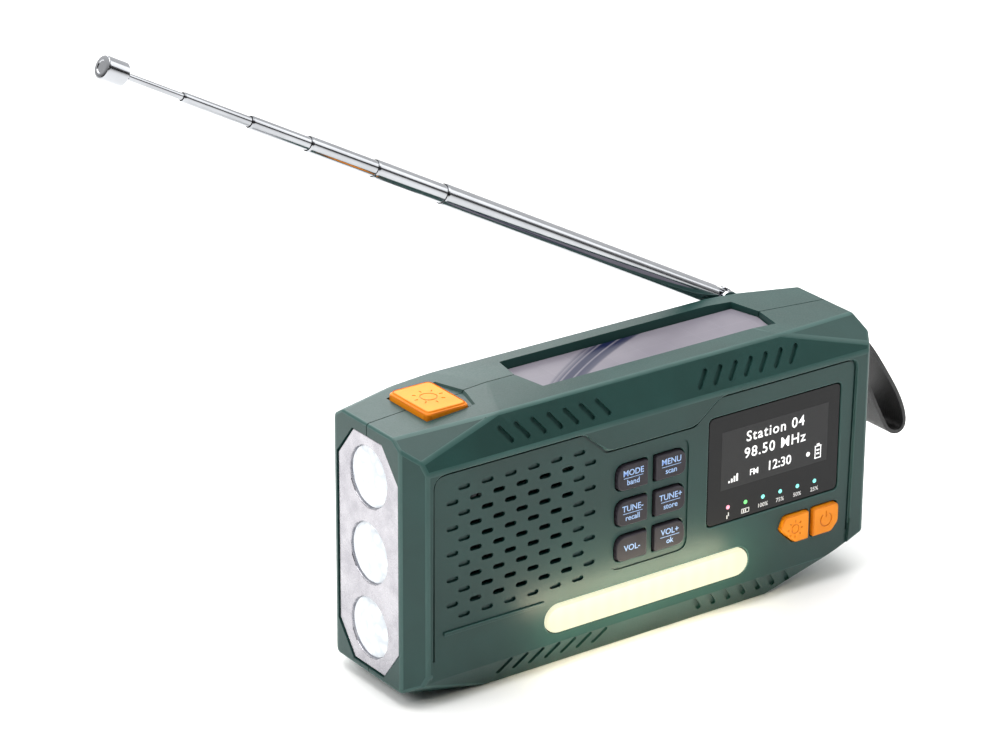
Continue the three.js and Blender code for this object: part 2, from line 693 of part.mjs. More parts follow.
function generatorPinion() {
  const [x, z] = generatorCentre();
  const phase = gears.generatorAngle + Math.PI + Math.PI / gears.smallTeeth;
  return alongY(gearShape(gears.smallTeeth, phase), 5.2, 8.1)
    .add(turnedY(rod(1, -2, 6), 0, 0, 12))
    .translate(x, 0, z);
}

function generatorBody() {
  const [x, z] = generatorCentre();
  return turnedY([[0, -9], [12.2, -9], [13, -8.2], [13, 3.8], [12.2, 4.6], [0, 4.6]], x, z, 18)
    .subtract(turnedY(rod(1.35, -3, 10), x, z, 12));
}

// ---- doors, sockets, strap and screws -----------------------------------------------------

function batteryDoor() {
  const { left, right, low, high } = door;
  return alongY(roundedBox(left, right, low, high, 2), 19.6, 21.9);
}

function portCover() {
  return alongY(roundedBox(ports.left, ports.right, ports.low, ports.high, 3), 20.3, 21.9);
}

function usbSocket(width, height, x, mouth) {
  const [halfWidth, halfHeight, middle] = [width / 2 - 0.6, height / 2 - 0.6, 19];
  return mouth.subtract(
    box(x - halfWidth, x + halfWidth, 9, 30, middle - halfHeight, middle + halfHeight));
}

function usbA() {
  return usbSocket(13.2, 5.8, 44, box(37.4, 50.6, 6, 19.7, 16.1, 21.9));
}

function usbC() {
  return usbSocket(7.4, 3.2, 59, alongY(slotShape(59, 19, 9, 3.2), 9.5, 19.7)
    .add(box(54.5, 63.5, 8.5, 12, 17.4, 20.6)));
}

// The strap is a ribbon folded round its pin into a long loop.
function wristStrap() {
  const route = [[73.75, 66.8], [74.9, 68.9], [77.2, 69.6], [81, 69.3], [84.9, 65.6], [89.3, 59.9],
    [96.8, 48.2], [100.3, 40.6], [100.7, 35.9], [98.2, 34.4], [94.5, 36.3], [90.9, 42.6], [87.5, 49.3],
    [83.3, 56.8], [80.8, 61.8], [78.2, 64.2], [75.2, 64.7]];
  const loop = new THREE.CatmullRomCurve3(route.map(([x, z]) => new THREE.Vector3(x, z, 0)), true);
  const steps = 44;
  const outer = [];
  const inner = [];
  for (let i = 0; i < steps; i++) {
    const point = loop.getPoint(i / steps);
    const tangent = loop.getTangent(i / steps);
    const side = new THREE.Vector3(-tangent.y, tangent.x, 0).multiplyScalar(strap.thickness / 2);
    outer.push(new THREE.Vector2(point.x + side.x, point.y + side.y));
    inner.push(new THREE.Vector2(point.x - side.x, point.y - side.y));
  }
  return alongY(new THREE.Shape(outer), -strap.width / 2, strap.width / 2)
    .subtract(alongY(new THREE.Shape(inner), -strap.width, strap.width));
}

function caseScrew(x, z) {
  return turnedY([[0, -16.8], [1, -16.8], [1, 17.8], [2.2, 17.8], [2.2, 19.2], [1.9, 19.6],
    [0, 19.6]], x, z, 12);
}

// ---- assembly -----------------------------------------------------------------------------

const radio = new THREE.Group();

function place(name, solid, look, parent = radio) {
  const mesh = new THREE.Mesh(toGeometry(solid), look);
  mesh.name = name;
  parent.add(mesh);
}

place('front_shell', frontShell(), looks.shell);
place('rear_shell', rearShell(), looks.shell);
place('torch_reflector', torchReflector(), looks.chrome);
lensCentres().forEach((z, i) => place(`torch_lens_${i + 1}`, torchLens(z), looks.clear));
place('torch_led_board', torchBoard(), looks.white);
place('solar_panel', solarPanel(), looks.solar);
place('sos_button', sosButton(), looks.orange);
place('lamp_diffuser', alongY(lampShape(), readingLamp.front, -19.4, 8), looks.light);
place('lamp_led_board', box(-33, 30.6, -18.6, -17.2, 12.4, 18.6), looks.white);
place('display_window', alongY(windowShape(), displayWindow.front, -19.6), looks.window);
place('display_module', box(22, 63.6, -19.2, -15.4, 37, 58.4), looks.dark);
place('indicator_light_guide', indicatorGuide(), looks.clear);

const keyNames = [
  ['key_mode', 'key_tune_down', 'key_volume_down'],
  ['key_menu', 'key_tune_up', 'key_volume_up'],
];
keyNames.forEach((names, column) => names.forEach((name, row) => {
  place(name, pushButton((grow) => keyShape(column, row, grow), keypad.front), looks.key);
}));
place('light_button', pushButton(lightButtonShape, orangeButton.front), looks.orange);
place('power_button', pushButton(powerButtonShape, orangeButton.front), looks.orange);

place('main_board', box(-20, 66, -13, -11.4, 16, 71), looks.board);
place('speaker_basket', speakerBasket(), looks.steel);
place('speaker_cone', speakerCone(), looks.dark);
place('speaker_magnet', speakerMagnet(), looks.steel);
place('lithium_cell', box(18, 66, -10.5, -1, 35, 68), looks.cell);
cells.rows.forEach((z, i) => place(`aaa_cell_${i + 1}`, aaaCell(z), looks.cell));

const mast = new THREE.Group();
mast.position.set(...antenna.pivot);
mast.rotation.y = THREE.MathUtils.degToRad(antenna.elevation - 90);
radio.add(mast);
place('antenna_knuckle', antennaKnuckle(), looks.chrome, mast);
place('antenna_rivet', antennaRivet(), looks.chrome, mast);
place('antenna_base_tube', antennaBaseTube(), looks.chrome, mast);
for (let i = 1; i < antenna.diameters.length; i++) {
  place(`antenna_section_${i + 1}`, antennaSection(i), looks.chrome, mast);
}
place('antenna_tip', antennaTip(), looks.chrome, mast);

place('crank_hub', crankHub(), looks.dark);
place('crank_hinge_pin', hingeRod(1, -7.6, 7.6), looks.steel);
place('crank_arm', crankArm(), looks.shell);
place('crank_knob', crankKnob(), looks.dark);
place('crank_knob_screw', knobScrew(), looks.steel);
place('crank_gear', crankGear(), looks.white);
place('compound_gear', compoundGear(), looks.white);
place('gear_axle', turnedY(rod(1.5, 3, 19.4), ...gears.compound, 12), looks.steel);
place('generator_pinion', generatorPinion(), looks.brass);
place('generator_body', generatorBody(), looks.steel);

place('battery_door', batteryDoor(), looks.shell);
place('port_cover', portCover(), looks.dark);
place('usb_a_socket', usbA(), looks.steel);
place('usb_c_socket', usbC(), looks.steel);
place('wrist_strap', wristStrap(), looks.dark);
place('strap_pin', turnedY(rod(1.4, -14, 14), strap.x, strap.z, 12), looks.steel);
screws.forEach(([x, z], i) => place(`case_screw_${i + 1}`, caseScrew(x, z), looks.steel));

export default radio;
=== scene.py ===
import json
import math
import bpy
import bmesh
from mathutils import Matrix, Vector


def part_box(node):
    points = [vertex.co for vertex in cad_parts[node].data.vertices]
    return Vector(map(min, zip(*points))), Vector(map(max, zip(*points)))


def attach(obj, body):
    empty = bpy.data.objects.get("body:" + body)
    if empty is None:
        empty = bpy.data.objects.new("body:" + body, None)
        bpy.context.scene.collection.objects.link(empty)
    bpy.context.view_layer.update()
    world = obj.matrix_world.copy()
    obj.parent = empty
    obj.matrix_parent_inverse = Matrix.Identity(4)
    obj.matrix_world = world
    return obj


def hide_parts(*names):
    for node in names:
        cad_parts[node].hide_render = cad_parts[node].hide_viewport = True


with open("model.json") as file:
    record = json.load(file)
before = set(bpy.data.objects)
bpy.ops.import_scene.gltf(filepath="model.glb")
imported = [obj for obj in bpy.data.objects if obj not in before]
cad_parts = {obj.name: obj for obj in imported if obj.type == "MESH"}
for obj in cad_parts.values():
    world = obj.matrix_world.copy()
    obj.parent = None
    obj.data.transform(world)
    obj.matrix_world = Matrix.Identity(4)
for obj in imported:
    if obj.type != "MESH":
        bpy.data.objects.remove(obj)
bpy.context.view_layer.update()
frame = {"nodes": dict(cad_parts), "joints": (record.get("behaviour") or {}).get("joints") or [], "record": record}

mm = 0.001
nodes = frame["nodes"]
joints = {joint["name"]: joint for joint in frame["joints"]}
bodyOf = {n: b for b, members in frame["record"]["behaviour"]["bodies"].items() for n in members}
slotOf = {row["node"]: row["material_slot"] for row in frame["record"]["subparts"]}
finishes = {}                    # material by record slot, filled in below
wearAndLightMark = "rubbedEdgeAndPaintedLight"          # face value that the materials read on bevels and cuts, for an edge colour that is partly rubbed wear and partly painted light
flatAngle = math.radians(0.4)    # faces that differ by less are one flat
weld = {"cad": 0.002 * mm, "spun": 0.001 * mm, "wrap": 0.02 * mm}    # points this close are one
print("frame loaded:", len(nodes), "nodes")

# Camera, floor and light

studio = {
    "eye": (-0.58531, -0.76612, 0.47647), "right": (0.81438, -0.58031, 0.00525),
    "up": (0.22058, 0.31790, 0.92211), "lens": 136.8,
    "floor": "#fbfbfa", "floorSize": 8, "room": "#ffffff",
    "bright": (0.42, 0.58, 0.70), "fade": (-0.15, 0.7),     # where the room is bright, and the fade to it
    "frontStrength": 0.03, "backStrength": 0.95,
    "lights": [  # name, place, size, watts
        ("keySoftbox", (-1.15, -0.05, 0.95), 0.7, 9),
        ("topSoftbox", (0.1, 0.25, 1.35), 1.4, 22),
        ("endSoftbox", (1.0, -0.45, 0.75), 0.8, 3),
        ("backSoftbox", (0.3, 1.15, 0.7), 0.9, 7),
    ],
}


def linear(hexValue):
    parts = [int(hexValue[i:i + 2], 16) / 255 for i in (1, 3, 5)]
    return tuple(c / 12.92 if c <= 0.04045 else ((c + 0.055) / 1.055) ** 2.4 for c in parts) + (1.0,)


def addNode(tree, kind, links=None, **settings):
    made = tree.nodes.new(kind)
    for name, value in settings.items():
        setattr(made, name, value)
    for socket, value in (links or {}).items():
        if isinstance(value, bpy.types.NodeSocket):
            tree.links.new(value, made.inputs[socket])
        else:
            made.inputs[socket].default_value = value
    return made


def makeStudio():
    camera = bpy.data.objects.new("studioCamera", bpy.data.cameras.new("studioCamera"))
    right, up = Vector(studio["right"]), Vector(studio["up"])
    turn = Matrix((right, up, right.cross(up))).transposed().to_4x4()
    camera.matrix_world = Matrix.Translation(studio["eye"]) @ turn
    camera.data.sensor_width = 36
    camera.data.lens = studio["lens"]
    camera.data.clip_end = 50
    bpy.context.scene.collection.objects.link(camera)
    bpy.context.scene.camera = camera
    bpy.context.scene.view_settings.view_transform = "Standard"   # keeps the plastics' own colours

    world = bpy.data.worlds.new("paleRoom")
    world.use_nodes = True
    tree = world.node_tree
    backdrop = tree.nodes["Background"]
    backdrop.inputs["Color"].default_value = linear(studio["room"])
    way = addNode(tree, "ShaderNodeTexCoord").outputs["Generated"]
    rise = addNode(tree, "ShaderNodeVectorMath", {0: way, 1: studio["bright"]}, operation="DOT_PRODUCT")
    fromLow, fromHigh = studio["fade"]
    level = addNode(tree, "ShaderNodeMapRange", {
        "Value": rise.outputs["Value"], "From Min": fromLow, "From Max": fromHigh,
        "To Min": studio["frontStrength"], "To Max": studio["backStrength"]},
        interpolation_type="SMOOTHSTEP")
    tree.links.new(level.outputs["Result"], backdrop.inputs["Strength"])
    bpy.context.scene.world = world

    bm = bmesh.new()
    bmesh.ops.create_grid(bm, x_segments=1, y_segments=1, size=studio["floorSize"])
    mesh = bpy.data.meshes.new("studioFloor")
    bm.to_mesh(mesh)
    bm.free()
    floor = bpy.data.objects.new("studioFloor", mesh)
    bpy.context.scene.collection.objects.link(floor)
    paper = bpy.data.materials.new("matt white paper sweep")
    paper.use_nodes = True
    shader = paper.node_tree.nodes["Principled BSDF"]
    shader.inputs["Base Color"].default_value = linear(studio["floor"])
    shader.inputs["Roughness"].default_value = 0.9
    mesh.materials.append(paper)

    for name, place, size, watts in studio["lights"]:
        light = bpy.data.lights.new(name, "AREA")
        light.size = size
        light.energy = watts
        lamp = bpy.data.objects.new(name, light)
        lamp.location = place
        lamp.rotation_mode = "QUATERNION"
        lamp.rotation_quaternion = (Vector(place) - Vector((0, 0, 0.04))).to_track_quat("Z", "Y")
        bpy.context.scene.collection.objects.link(lamp)


makeStudio()
print("studio ready")

# Materials


def newMaterial(name):
    made = bpy.data.materials.new(name)
    made.use_nodes = True
    tree = made.node_tree
    return made, tree, tree.nodes["Principled BSDF"]


def blendColour(tree, factor, first, second):
    mix = addNode(tree, "ShaderNodeMix", {0: factor, 6: first, 7: second}, data_type="RGBA")
    return mix.outputs[2]


# A moulded, cast or pressed solid: patchy colour, a grain in the surface and uneven gloss.
def solidFinish(name, look):
    made, tree, shader = newMaterial(name)
    place = addNode(tree, "ShaderNodeTexCoord").outputs["Object"]
    patch = addNode(tree, "ShaderNodeTexNoise",
                    {"Vector": place, "Scale": 1 / (look["patch"] * mm), "Detail": 4.0})
    grain = addNode(tree, "ShaderNodeTexNoise",
                    {"Vector": place, "Scale": 1 / (look["grain"] * mm), "Detail": 3.0})
    spread = addNode(tree, "ShaderNodeMapRange", {
        "Value": patch.outputs["Fac"], "From Min": 0.35, "From Max": 0.65})
    base = blendColour(tree, spread.outputs["Result"], linear(look["colour"]), linear(look["shade"]))
    if "wearAndPaintedLight" in look:   # bevelled and engraved faces carry the mark, and take a colour of their own: partly rubbed wear, partly painted light
        mark = addNode(tree, "ShaderNodeAttribute", attribute_name=wearAndLightMark)
        edgeWearAndLight = addNode(tree, "ShaderNodeMath", {0: mark.outputs["Fac"], 1: patch.outputs["Fac"]},
                      operation="MULTIPLY")
        base = blendColour(tree, edgeWearAndLight.outputs[0], base, linear(look["wearAndPaintedLight"]))
    tree.links.new(base, shader.inputs["Base Color"])
    low, high = look["roughness"]
    gloss = addNode(tree, "ShaderNodeMapRange", {
        "Value": grain.outputs["Fac"], "From Min": 0.3, "From Max": 0.7, "To Min": low, "To Max": high})
    tree.links.new(gloss.outputs["Result"], shader.inputs["Roughness"])
    bump = addNode(tree, "ShaderNodeBump", {
        "Height": grain.outputs["Fac"], "Distance": look["depth"] * mm, "Strength": 1.0})
    tree.links.new(bump.outputs["Normal"], shader.inputs["Normal"])
    shader.inputs["Metallic"].default_value = look.get("metallic", 0.0)
    shader.inputs["IOR"].default_value = look.get("ior", 1.5)
    if "glow" in look:
        shader.inputs["Emission Color"].default_value = linear(look["glow"])
        shader.inputs["Emission Strength"].default_value = look["strength"]
    return made


# patch and grain are sizes in mm, depth is the height of the grain in mm. The edge colour on marked faces
# is partly rubbed wear and partly painted light: a painted highlight where paler, a painted shade where darker
looks = {
    # spark-eroded tool: a fine even sparkle over satin green, paler on the rounded edges, partly rubbed wear and
    # partly painted highlight
    "shell_green": ("ABS, green, injection moulded", {
        "colour": "#1f413d", "shade": "#1b3935", "wearAndPaintedLight": "#43645f", "patch": 26, "grain": 0.45,
        "depth": 0.018, "roughness": (0.33, 0.44), "ior": 1.38}),
    # smoother tool than the case, so it takes a cleaner highlight
    "orange_plastic": ("ABS, orange, injection moulded", {
        "colour": "#fb9616", "shade": "#f38c0c", "wearAndPaintedLight": "#c96508", "patch": 9, "grain": 0.5,
        "depth": 0.010, "roughness": (0.36, 0.46), "ior": 1.3}),
    # soft-touch caps: nearly no highlight, brownish black
    "key_plastic": ("silicone-coated ABS, black", {
        "colour": "#2f2b32", "shade": "#28242a", "wearAndPaintedLight": "#3f3b43", "patch": 5, "grain": 0.3,
        "depth": 0.010, "roughness": (0.42, 0.55), "ior": 1.35}),
    # polished sheet: flat dark body with a clear reflection
    "smoked_window": ("acrylic, smoked, polished", {
        "colour": "#232324", "shade": "#212122", "patch": 30, "grain": 0.8, "depth": 0.001,
        "roughness": (0.10, 0.16), "ior": 1.25}),
    "display_glass": ("soda-lime glass, display module", {
        "colour": "#353536", "shade": "#333334", "patch": 20, "grain": 0.6, "depth": 0.001,
        "roughness": (0.12, 0.2), "ior": 1.25}),
    "light_guide": ("polycarbonate, clear, moulded", {
        "colour": "#e2e6e8", "shade": "#d5dadc", "patch": 6, "grain": 0.5, "depth": 0.002,
        "roughness": (0.12, 0.2), "ior": 1.58}),
    # vacuum-metallised ABS: bright but slightly orange-peeled
    "plated_reflector": ("ABS, vacuum-metallised", {
        "colour": "#b5b3b8", "shade": "#a09ea4", "patch": 7, "grain": 1.2, "depth": 0.010,
        "roughness": (0.22, 0.34), "metallic": 1.0}),
    # the whole board glows white: painted light from the LEDs it carries
    "led_board": ("fibreglass board, white solder mask", {
        "colour": "#e9e9e2", "shade": "#dcdcd4", "patch": 5, "grain": 0.4, "depth": 0.005,
        "roughness": (0.3, 0.4), "glow": "#ffffff", "strength": 0.6}),
    "circuit_board": ("fibreglass board, green solder mask", {
        "colour": "#2f6b3a", "shade": "#275c31", "patch": 4, "grain": 0.4, "depth": 0.006,
        "roughness": (0.3, 0.42)}),
    # darkened well below bright nickel so the steel seen through the grille slots stays dark: painted shade
    "pressed_steel": ("mild steel, pressed, nickel-plated", {
        "colour": "#5b5c60", "shade": "#4b4c50", "patch": 6, "grain": 0.6, "depth": 0.006,
        "roughness": (0.28, 0.42), "metallic": 1.0}),
    "speaker_paper": ("paper pulp, pressed, black", {
        "colour": "#1c1c1d", "shade": "#131314", "patch": 3, "grain": 0.35, "depth": 0.03,
        "roughness": (0.8, 0.95)}),
    "cell_sleeve": ("PVC shrink sleeve, blue", {
        "colour": "#3c6ea8", "shade": "#355f94", "patch": 8, "grain": 0.6, "depth": 0.006,
        "roughness": (0.25, 0.35), "ior": 1.53}),
    # drawn and plated tube: mirror-bright with faint handling haze
    "antenna_chrome": ("brass tube, chrome-plated", {
        "colour": "#b4b6ba", "shade": "#a8aaae", "patch": 14, "grain": 0.9, "depth": 0.001,
        "roughness": (0.07, 0.14), "metallic": 1.0}),
    # glass-filled nylon: coarser, drier grain than the case
    "black_plastic": ("nylon, glass-filled, black", {
        "colour": "#1d1e1f", "shade": "#161718", "wearAndPaintedLight": "#3b3d3f", "patch": 8, "grain": 0.5,
        "depth": 0.03, "roughness": (0.5, 0.64), "ior": 1.53}),
    "zinc_steel": ("steel, zinc-plated", {
        "colour": "#a3a5a8", "shade": "#909296", "patch": 3, "grain": 0.3, "depth": 0.006,
        "roughness": (0.25, 0.38), "metallic": 1.0}),
    "gear_nylon": ("nylon, natural, moulded", {
        "colour": "#e6e3da", "shade": "#dcd8cd", "patch": 5, "grain": 0.4, "depth": 0.008,
        "roughness": (0.4, 0.5), "ior": 1.53}),
    "pinion_brass": ("brass, turned", {
        "colour": "#b08d3c", "shade": "#9c7b30", "patch": 2, "grain": 0.2, "depth": 0.004,
        "roughness": (0.2, 0.32), "metallic": 1.0}),
    # matt, slightly dusty, with no clear highlight
    "cover_rubber": ("silicone rubber, black, moulded", {
        "colour": "#202223", "shade": "#191b1c", "wearAndPaintedLight": "#343738", "patch": 9, "grain": 0.6,
        "depth": 0.015, "roughness": (0.62, 0.78), "ior": 1.43}),
}
for slotName, (title, look) in looks.items():
    finishes[slotName] = solidFinish(title, look)


# Opal lamp strip: even warm light, faintly brighter over each LED chip, one every 5 mm.
def opalDiffuser():
    made, tree, shader = newMaterial("polycarbonate, opal, moulded")
    place = addNode(tree, "ShaderNodeTexCoord").outputs["Object"]
    chips = addNode(tree, "ShaderNodeTexWave", {   # a wave's period is about 0.314 / scale
        "Vector": place, "Scale": 0.314 / (5 * mm), "Distortion": 0.3})
    glow = blendColour(tree, chips.outputs["Fac"], linear("#fdfad6"), linear("#fdfbda"))
    tree.links.new(glow, shader.inputs["Emission Color"])
    shader.inputs["Base Color"].default_value = linear("#26261f")
    shader.inputs["Emission Strength"].default_value = 0.95
    shader.inputs["Roughness"].default_value = 0.4
    return made


# Moulded torch lens: a hot white centre under a ring of shallow flutes.
def torchLensGlass():
    made, tree, shader = newMaterial("polycarbonate, clear, fluted")
    place = addNode(tree, "ShaderNodeTexCoord").outputs["Object"]
    flutes = addNode(tree, "ShaderNodeTexVoronoi", {"Vector": place, "Scale": 1 / (2.6 * mm)})
    depth = addNode(tree, "ShaderNodeMapRange", {
        "Value": flutes.outputs["Distance"], "From Min": 0.1, "From Max": 0.7})
    glow = blendColour(tree, depth.outputs["Result"], linear("#fbfdfd"), linear("#c3c9ce"))
    tree.links.new(glow, shader.inputs["Emission Color"])
    shader.inputs["Emission Strength"].default_value = 0.85
    shader.inputs["Base Color"].default_value = linear("#8e9296")
    shader.inputs["Roughness"].default_value = 0.1
    bump = addNode(tree, "ShaderNodeBump", {
        "Height": flutes.outputs["Distance"], "Distance": 0.3 * mm, "Strength": 1.0})
    tree.links.new(bump.outputs["Normal"], shader.inputs["Normal"])
    return made


reflectionSweep = {    # lengths in mm; the bands give a place across the painted reflection and how blue it is there
    "start": (25, 10.5), "slope": -0.75, "bow": 4.3, "half": 4.8,
    "bands": ((0.08, 0.8), (0.30, 1.0), (0.36, 0.05), (0.40, 1.0), (0.62, 1.0), (0.68, 0.1),
              (0.73, 0.9), (0.86, 0.2), (0.90, 0.6)),
}


# Thin-film cells under epoxy: grey violet strips with fine scribe lines, and a navy sweep edged with
# pale lines, which is a painted reflection in the epoxy.
def solarGlass():
    made, tree, shader = newMaterial("amorphous silicon cells under epoxy")
    place = addNode(tree, "ShaderNodeTexCoord").outputs["Object"]
    strips = addNode(tree, "ShaderNodeTexBrick", {
        "Vector": place, "Scale": 1.0, "Color1": linear("#6d6973"), "Color2": linear("#66626d"),
        "Mortar": linear("#7d7b84"), "Mortar Size": 0.06 * mm, "Mortar Smooth": 0.2,
        "Brick Width": 9.8 * mm, "Row Height": 60 * mm}, offset=0.0)
    haze = addNode(tree, "ShaderNodeTexNoise", {"Vector": place, "Scale": 1 / (9 * mm), "Detail": 6.0})
    base = blendColour(tree, haze.outputs["Fac"], strips.outputs["Color"], linear("#78747c"))
    axes = addNode(tree, "ShaderNodeSeparateXYZ", {"Vector": place})
    run = addNode(tree, "ShaderNodeMath", {0: axes.outputs["X"], 1: reflectionSweep["start"][0] * mm},
                  operation="ADD")
    depth = addNode(tree, "ShaderNodeMath", {0: axes.outputs["Y"], 1: reflectionSweep["start"][1] * mm},
                    operation="ADD")
    slope = addNode(tree, "ShaderNodeMath", {
        0: run.outputs[0], 1: reflectionSweep["slope"], 2: depth.outputs[0]}, operation="MULTIPLY_ADD")
    bow = addNode(tree, "ShaderNodeMath", {0: run.outputs[0], 1: run.outputs[0]}, operation="MULTIPLY")
    arc = addNode(tree, "ShaderNodeMath", {
        0: bow.outputs[0], 1: reflectionSweep["bow"], 2: slope.outputs[0]}, operation="MULTIPLY_ADD")
    half = reflectionSweep["half"] * mm
    across = addNode(tree, "ShaderNodeMapRange", {
        "Value": arc.outputs[0], "From Min": -half, "From Max": half})
    sweep = addNode(tree, "ShaderNodeValToRGB", {"Fac": across.outputs["Result"]})
    ramp = sweep.color_ramp
    for at, level in reflectionSweep["bands"]:
        ramp.elements.new(at).color = (level, level, level, 1.0)
    ramp.elements[0].color = (0.0, 0.0, 0.0, 1.0)
    ramp.elements[-1].color = (0.0, 0.0, 0.0, 1.0)
    # painted reflection: the navy sweep is mixed into the cells' colour
    base = blendColour(tree, sweep.outputs["Color"], base, linear("#0d1638"))
    tree.links.new(base, shader.inputs["Base Color"])
    shader.inputs["Roughness"].default_value = 0.28
    shader.inputs["IOR"].default_value = 1.3
    return made


# Flat woven polyester: plain weave on the strap's own UV map, in mm along and across.
def webbing():
    made, tree, shader = newMaterial("polyester webbing, black, woven")
    place = addNode(tree, "ShaderNodeUVMap", uv_map="weave").outputs["UV"]
    checks = addNode(tree, "ShaderNodeTexBrick", {   # threads about 1 mm apart, coarse enough to show
        "Vector": place, "Scale": 1.0, "Color1": linear("#1c1b1d"), "Color2": linear("#121213"),
        "Mortar": linear("#0a0a0b"), "Mortar Size": 0.12, "Mortar Smooth": 0.8,
        "Brick Width": 1.6, "Row Height": 0.8})
    tree.links.new(checks.outputs["Color"], shader.inputs["Base Color"])
    bump = addNode(tree, "ShaderNodeBump", {
        "Height": checks.outputs["Fac"], "Distance": 0.12 * mm, "Strength": 1.0}, invert=True)
    tree.links.new(bump.outputs["Normal"], shader.inputs["Normal"])
    shader.inputs["Roughness"].default_value = 0.5
    shader.inputs["Sheen Weight"].default_value = 0.05
    return made


# A printed or lit mark: one colour, broken up slightly as ink and segments are. The printed inks get a faint glow
# as well, which is painted light.
def markFinish(name, colour, strength):
    made, tree, shader = newMaterial(name)
    place = addNode(tree, "ShaderNodeTexCoord").outputs["Object"]
    speck = addNode(tree, "ShaderNodeTexNoise", {"Vector": place, "Scale": 1 / (0.5 * mm)})
    rgb = linear(colour)
    darker = tuple(c * 0.86 for c in rgb[:3]) + (1.0,)
    ink = blendColour(tree, speck.outputs["Fac"], darker, rgb)
    tree.links.new(ink, shader.inputs["Base Color"])
    tree.links.new(ink, shader.inputs["Emission Color"])
    shader.inputs["Emission Strength"].default_value = strength
    shader.inputs["Roughness"].default_value = 0.5
    return made


finishes["lamp_diffuser"] = opalDiffuser()
finishes["torch_lens"] = torchLensGlass()
finishes["solar_cells"] = solarGlass()
finishes["strap_webbing"] = webbing()
# the printed legends and labels are given a faint glow: painted light; the segments and LEDs are lit
legendInkAndGlow = markFinish("pad-printed ink, pale blue", "#9dbce8", 0.22)
segmentLight = markFinish("display segments, white", "#f4f4f4", 0.7)
labelInkAndGlow = markFinish("screen-printed ink, white", "#dcdcdc", 0.15)
ledLights = [markFinish("LED, " + name, colour, 1.0)
             for name, colour in (("pink", "#f79ab0"), ("green", "#6fe27a"), ("teal", "#7fe6dc"))]
for name, piece in nodes.items():
    piece.data.materials.clear()
    piece.data.materials.append(finishes[slotOf[name]])
print("materials ready:", len(bpy.data.materials))

# Shape helpers


# A copy of a CAD node's mesh, merged, with its flats back in one piece each.
def cadCopy(name):
    bm = bmesh.new()
    bm.from_mesh(nodes[name].data)
    bmesh.ops.remove_doubles(bm, verts=bm.verts, dist=weld["cad"])
    bmesh.ops.dissolve_limit(bm, angle_limit=flatAngle, verts=bm.verts, edges=bm.edges)
    bm.faces.layers.float.new(wearAndLightMark)
    return bm


spareLength = 1.3      # in radii; an unrounded neighbour that is shorter leaves no room for rounding


# Rounds the edges that turn more than minTurn degrees and have room for it. The new faces are marked.
def softenEdges(bm, radius, segments=3, minTurn=8, wanted=None):
    def turns(edge):
        return len(edge.link_faces) == 2 and edge.calc_face_angle(0) > math.radians(minTurn)

    sharp = {edge for edge in bm.edges if turns(edge) and (wanted is None or wanted(edge))}
    picked = [edge for edge in sharp if all(
        other in sharp or other.calc_length() > spareLength * radius
        for corner in edge.verts for other in corner.link_edges)]
    if not picked:
        return
    made = bmesh.ops.bevel(bm, geom=picked, offset=radius, offset_type="OFFSET", segments=segments,
                           profile=0.5, affect="EDGES", clamp_overlap=False, loop_slide=False,
                           material=-1)
    mark = bm.faces.layers.float[wearAndLightMark]
    for face in made["faces"]:
        face[mark] = 1.0


def meshObject(bm, name, material, body, stands=(), sharp=35):
    for face in bm.faces:
        face.smooth = True
    for edge in bm.edges:
        edge.smooth = len(edge.link_faces) == 2 and edge.calc_face_angle(0) < math.radians(sharp)
    mesh = bpy.data.meshes.new(name)
    bm.to_mesh(mesh)
    bm.free()
    mesh.materials.append(material)
    piece = bpy.data.objects.new(name, mesh)
    bpy.context.scene.collection.objects.link(piece)
    shade = piece.modifiers.new("evenShading", "WEIGHTED_NORMAL")
    shade.keep_sharp = True
    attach(piece, body)
    if stands:
        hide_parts(*stands)
    return piece


# The finished piece that stands for one CAD node.
def fromNode(bm, name):
    slot = slotOf[name]
    return meshObject(bm, name + ".soft", finishes[slot], bodyOf[name], [name])


# A closed [radius, height] profile spun round the axis, then put where the piece belongs.
def spun(bm, profile, place, steps=40):
    ring = [bm.verts.new((radius, 0, height)) for radius, height in profile]
    edges = [bm.edges.new((a, b)) for a, b in zip(ring, ring[1:] + ring[:1])
             if a.co.x > 0 or b.co.x > 0]      # no edge lies along the axis itself
    bmesh.ops.spin(bm, geom=ring + edges, cent=(0, 0, 0), axis=(0, 0, 1), dvec=(0, 0, 0),
                   angle=2 * math.pi, steps=steps, use_merge=True, use_duplicate=False)
    bmesh.ops.remove_doubles(bm, verts=bm.verts, dist=weld["spun"])
    bmesh.ops.recalc_face_normals(bm, faces=bm.faces)
    bm.transform(place)


# Joins loops of four corners into a bar, either closed on itself or capped at its ends.
def joinLoops(bm, loops, closed):
    for a, b in zip(loops, loops[1:] + (loops[:1] if closed else [])):
        for k in range(4):
            bm.faces.new((a[k], a[(k + 1) % 4], b[(k + 1) % 4], b[k]))
    if not closed:
        bm.faces.new(loops[0])
        bm.faces.new(loops[-1])


def newMesh():
    bm = bmesh.new()
    bm.faces.layers.float.new(wearAndLightMark)
    return bm


# Lays a flat drawing on the front, or with side -1 on the rear, where its second axis runs down.
def facing(place, side=1):
    return Matrix.Translation(place) @ Matrix.Rotation(side * math.pi / 2, 4, "X")


def along(origin, axis):
    turn = Vector(axis).normalized().to_track_quat("Z", "Y").to_matrix().to_4x4()
    return Matrix.Translation(origin) @ turn


# How far a CAD node reaches along an axis, and its largest radius about it.
def reachOf(name, origin, axis):
    direction = Vector(axis).normalized()
    points = [corner.co - Vector(origin) for corner in nodes[name].data.vertices]
    heights = [point.dot(direction) for point in points]
    radius = max((point - direction * point.dot(direction)).length for point in points)
    return min(heights), max(heights), radius
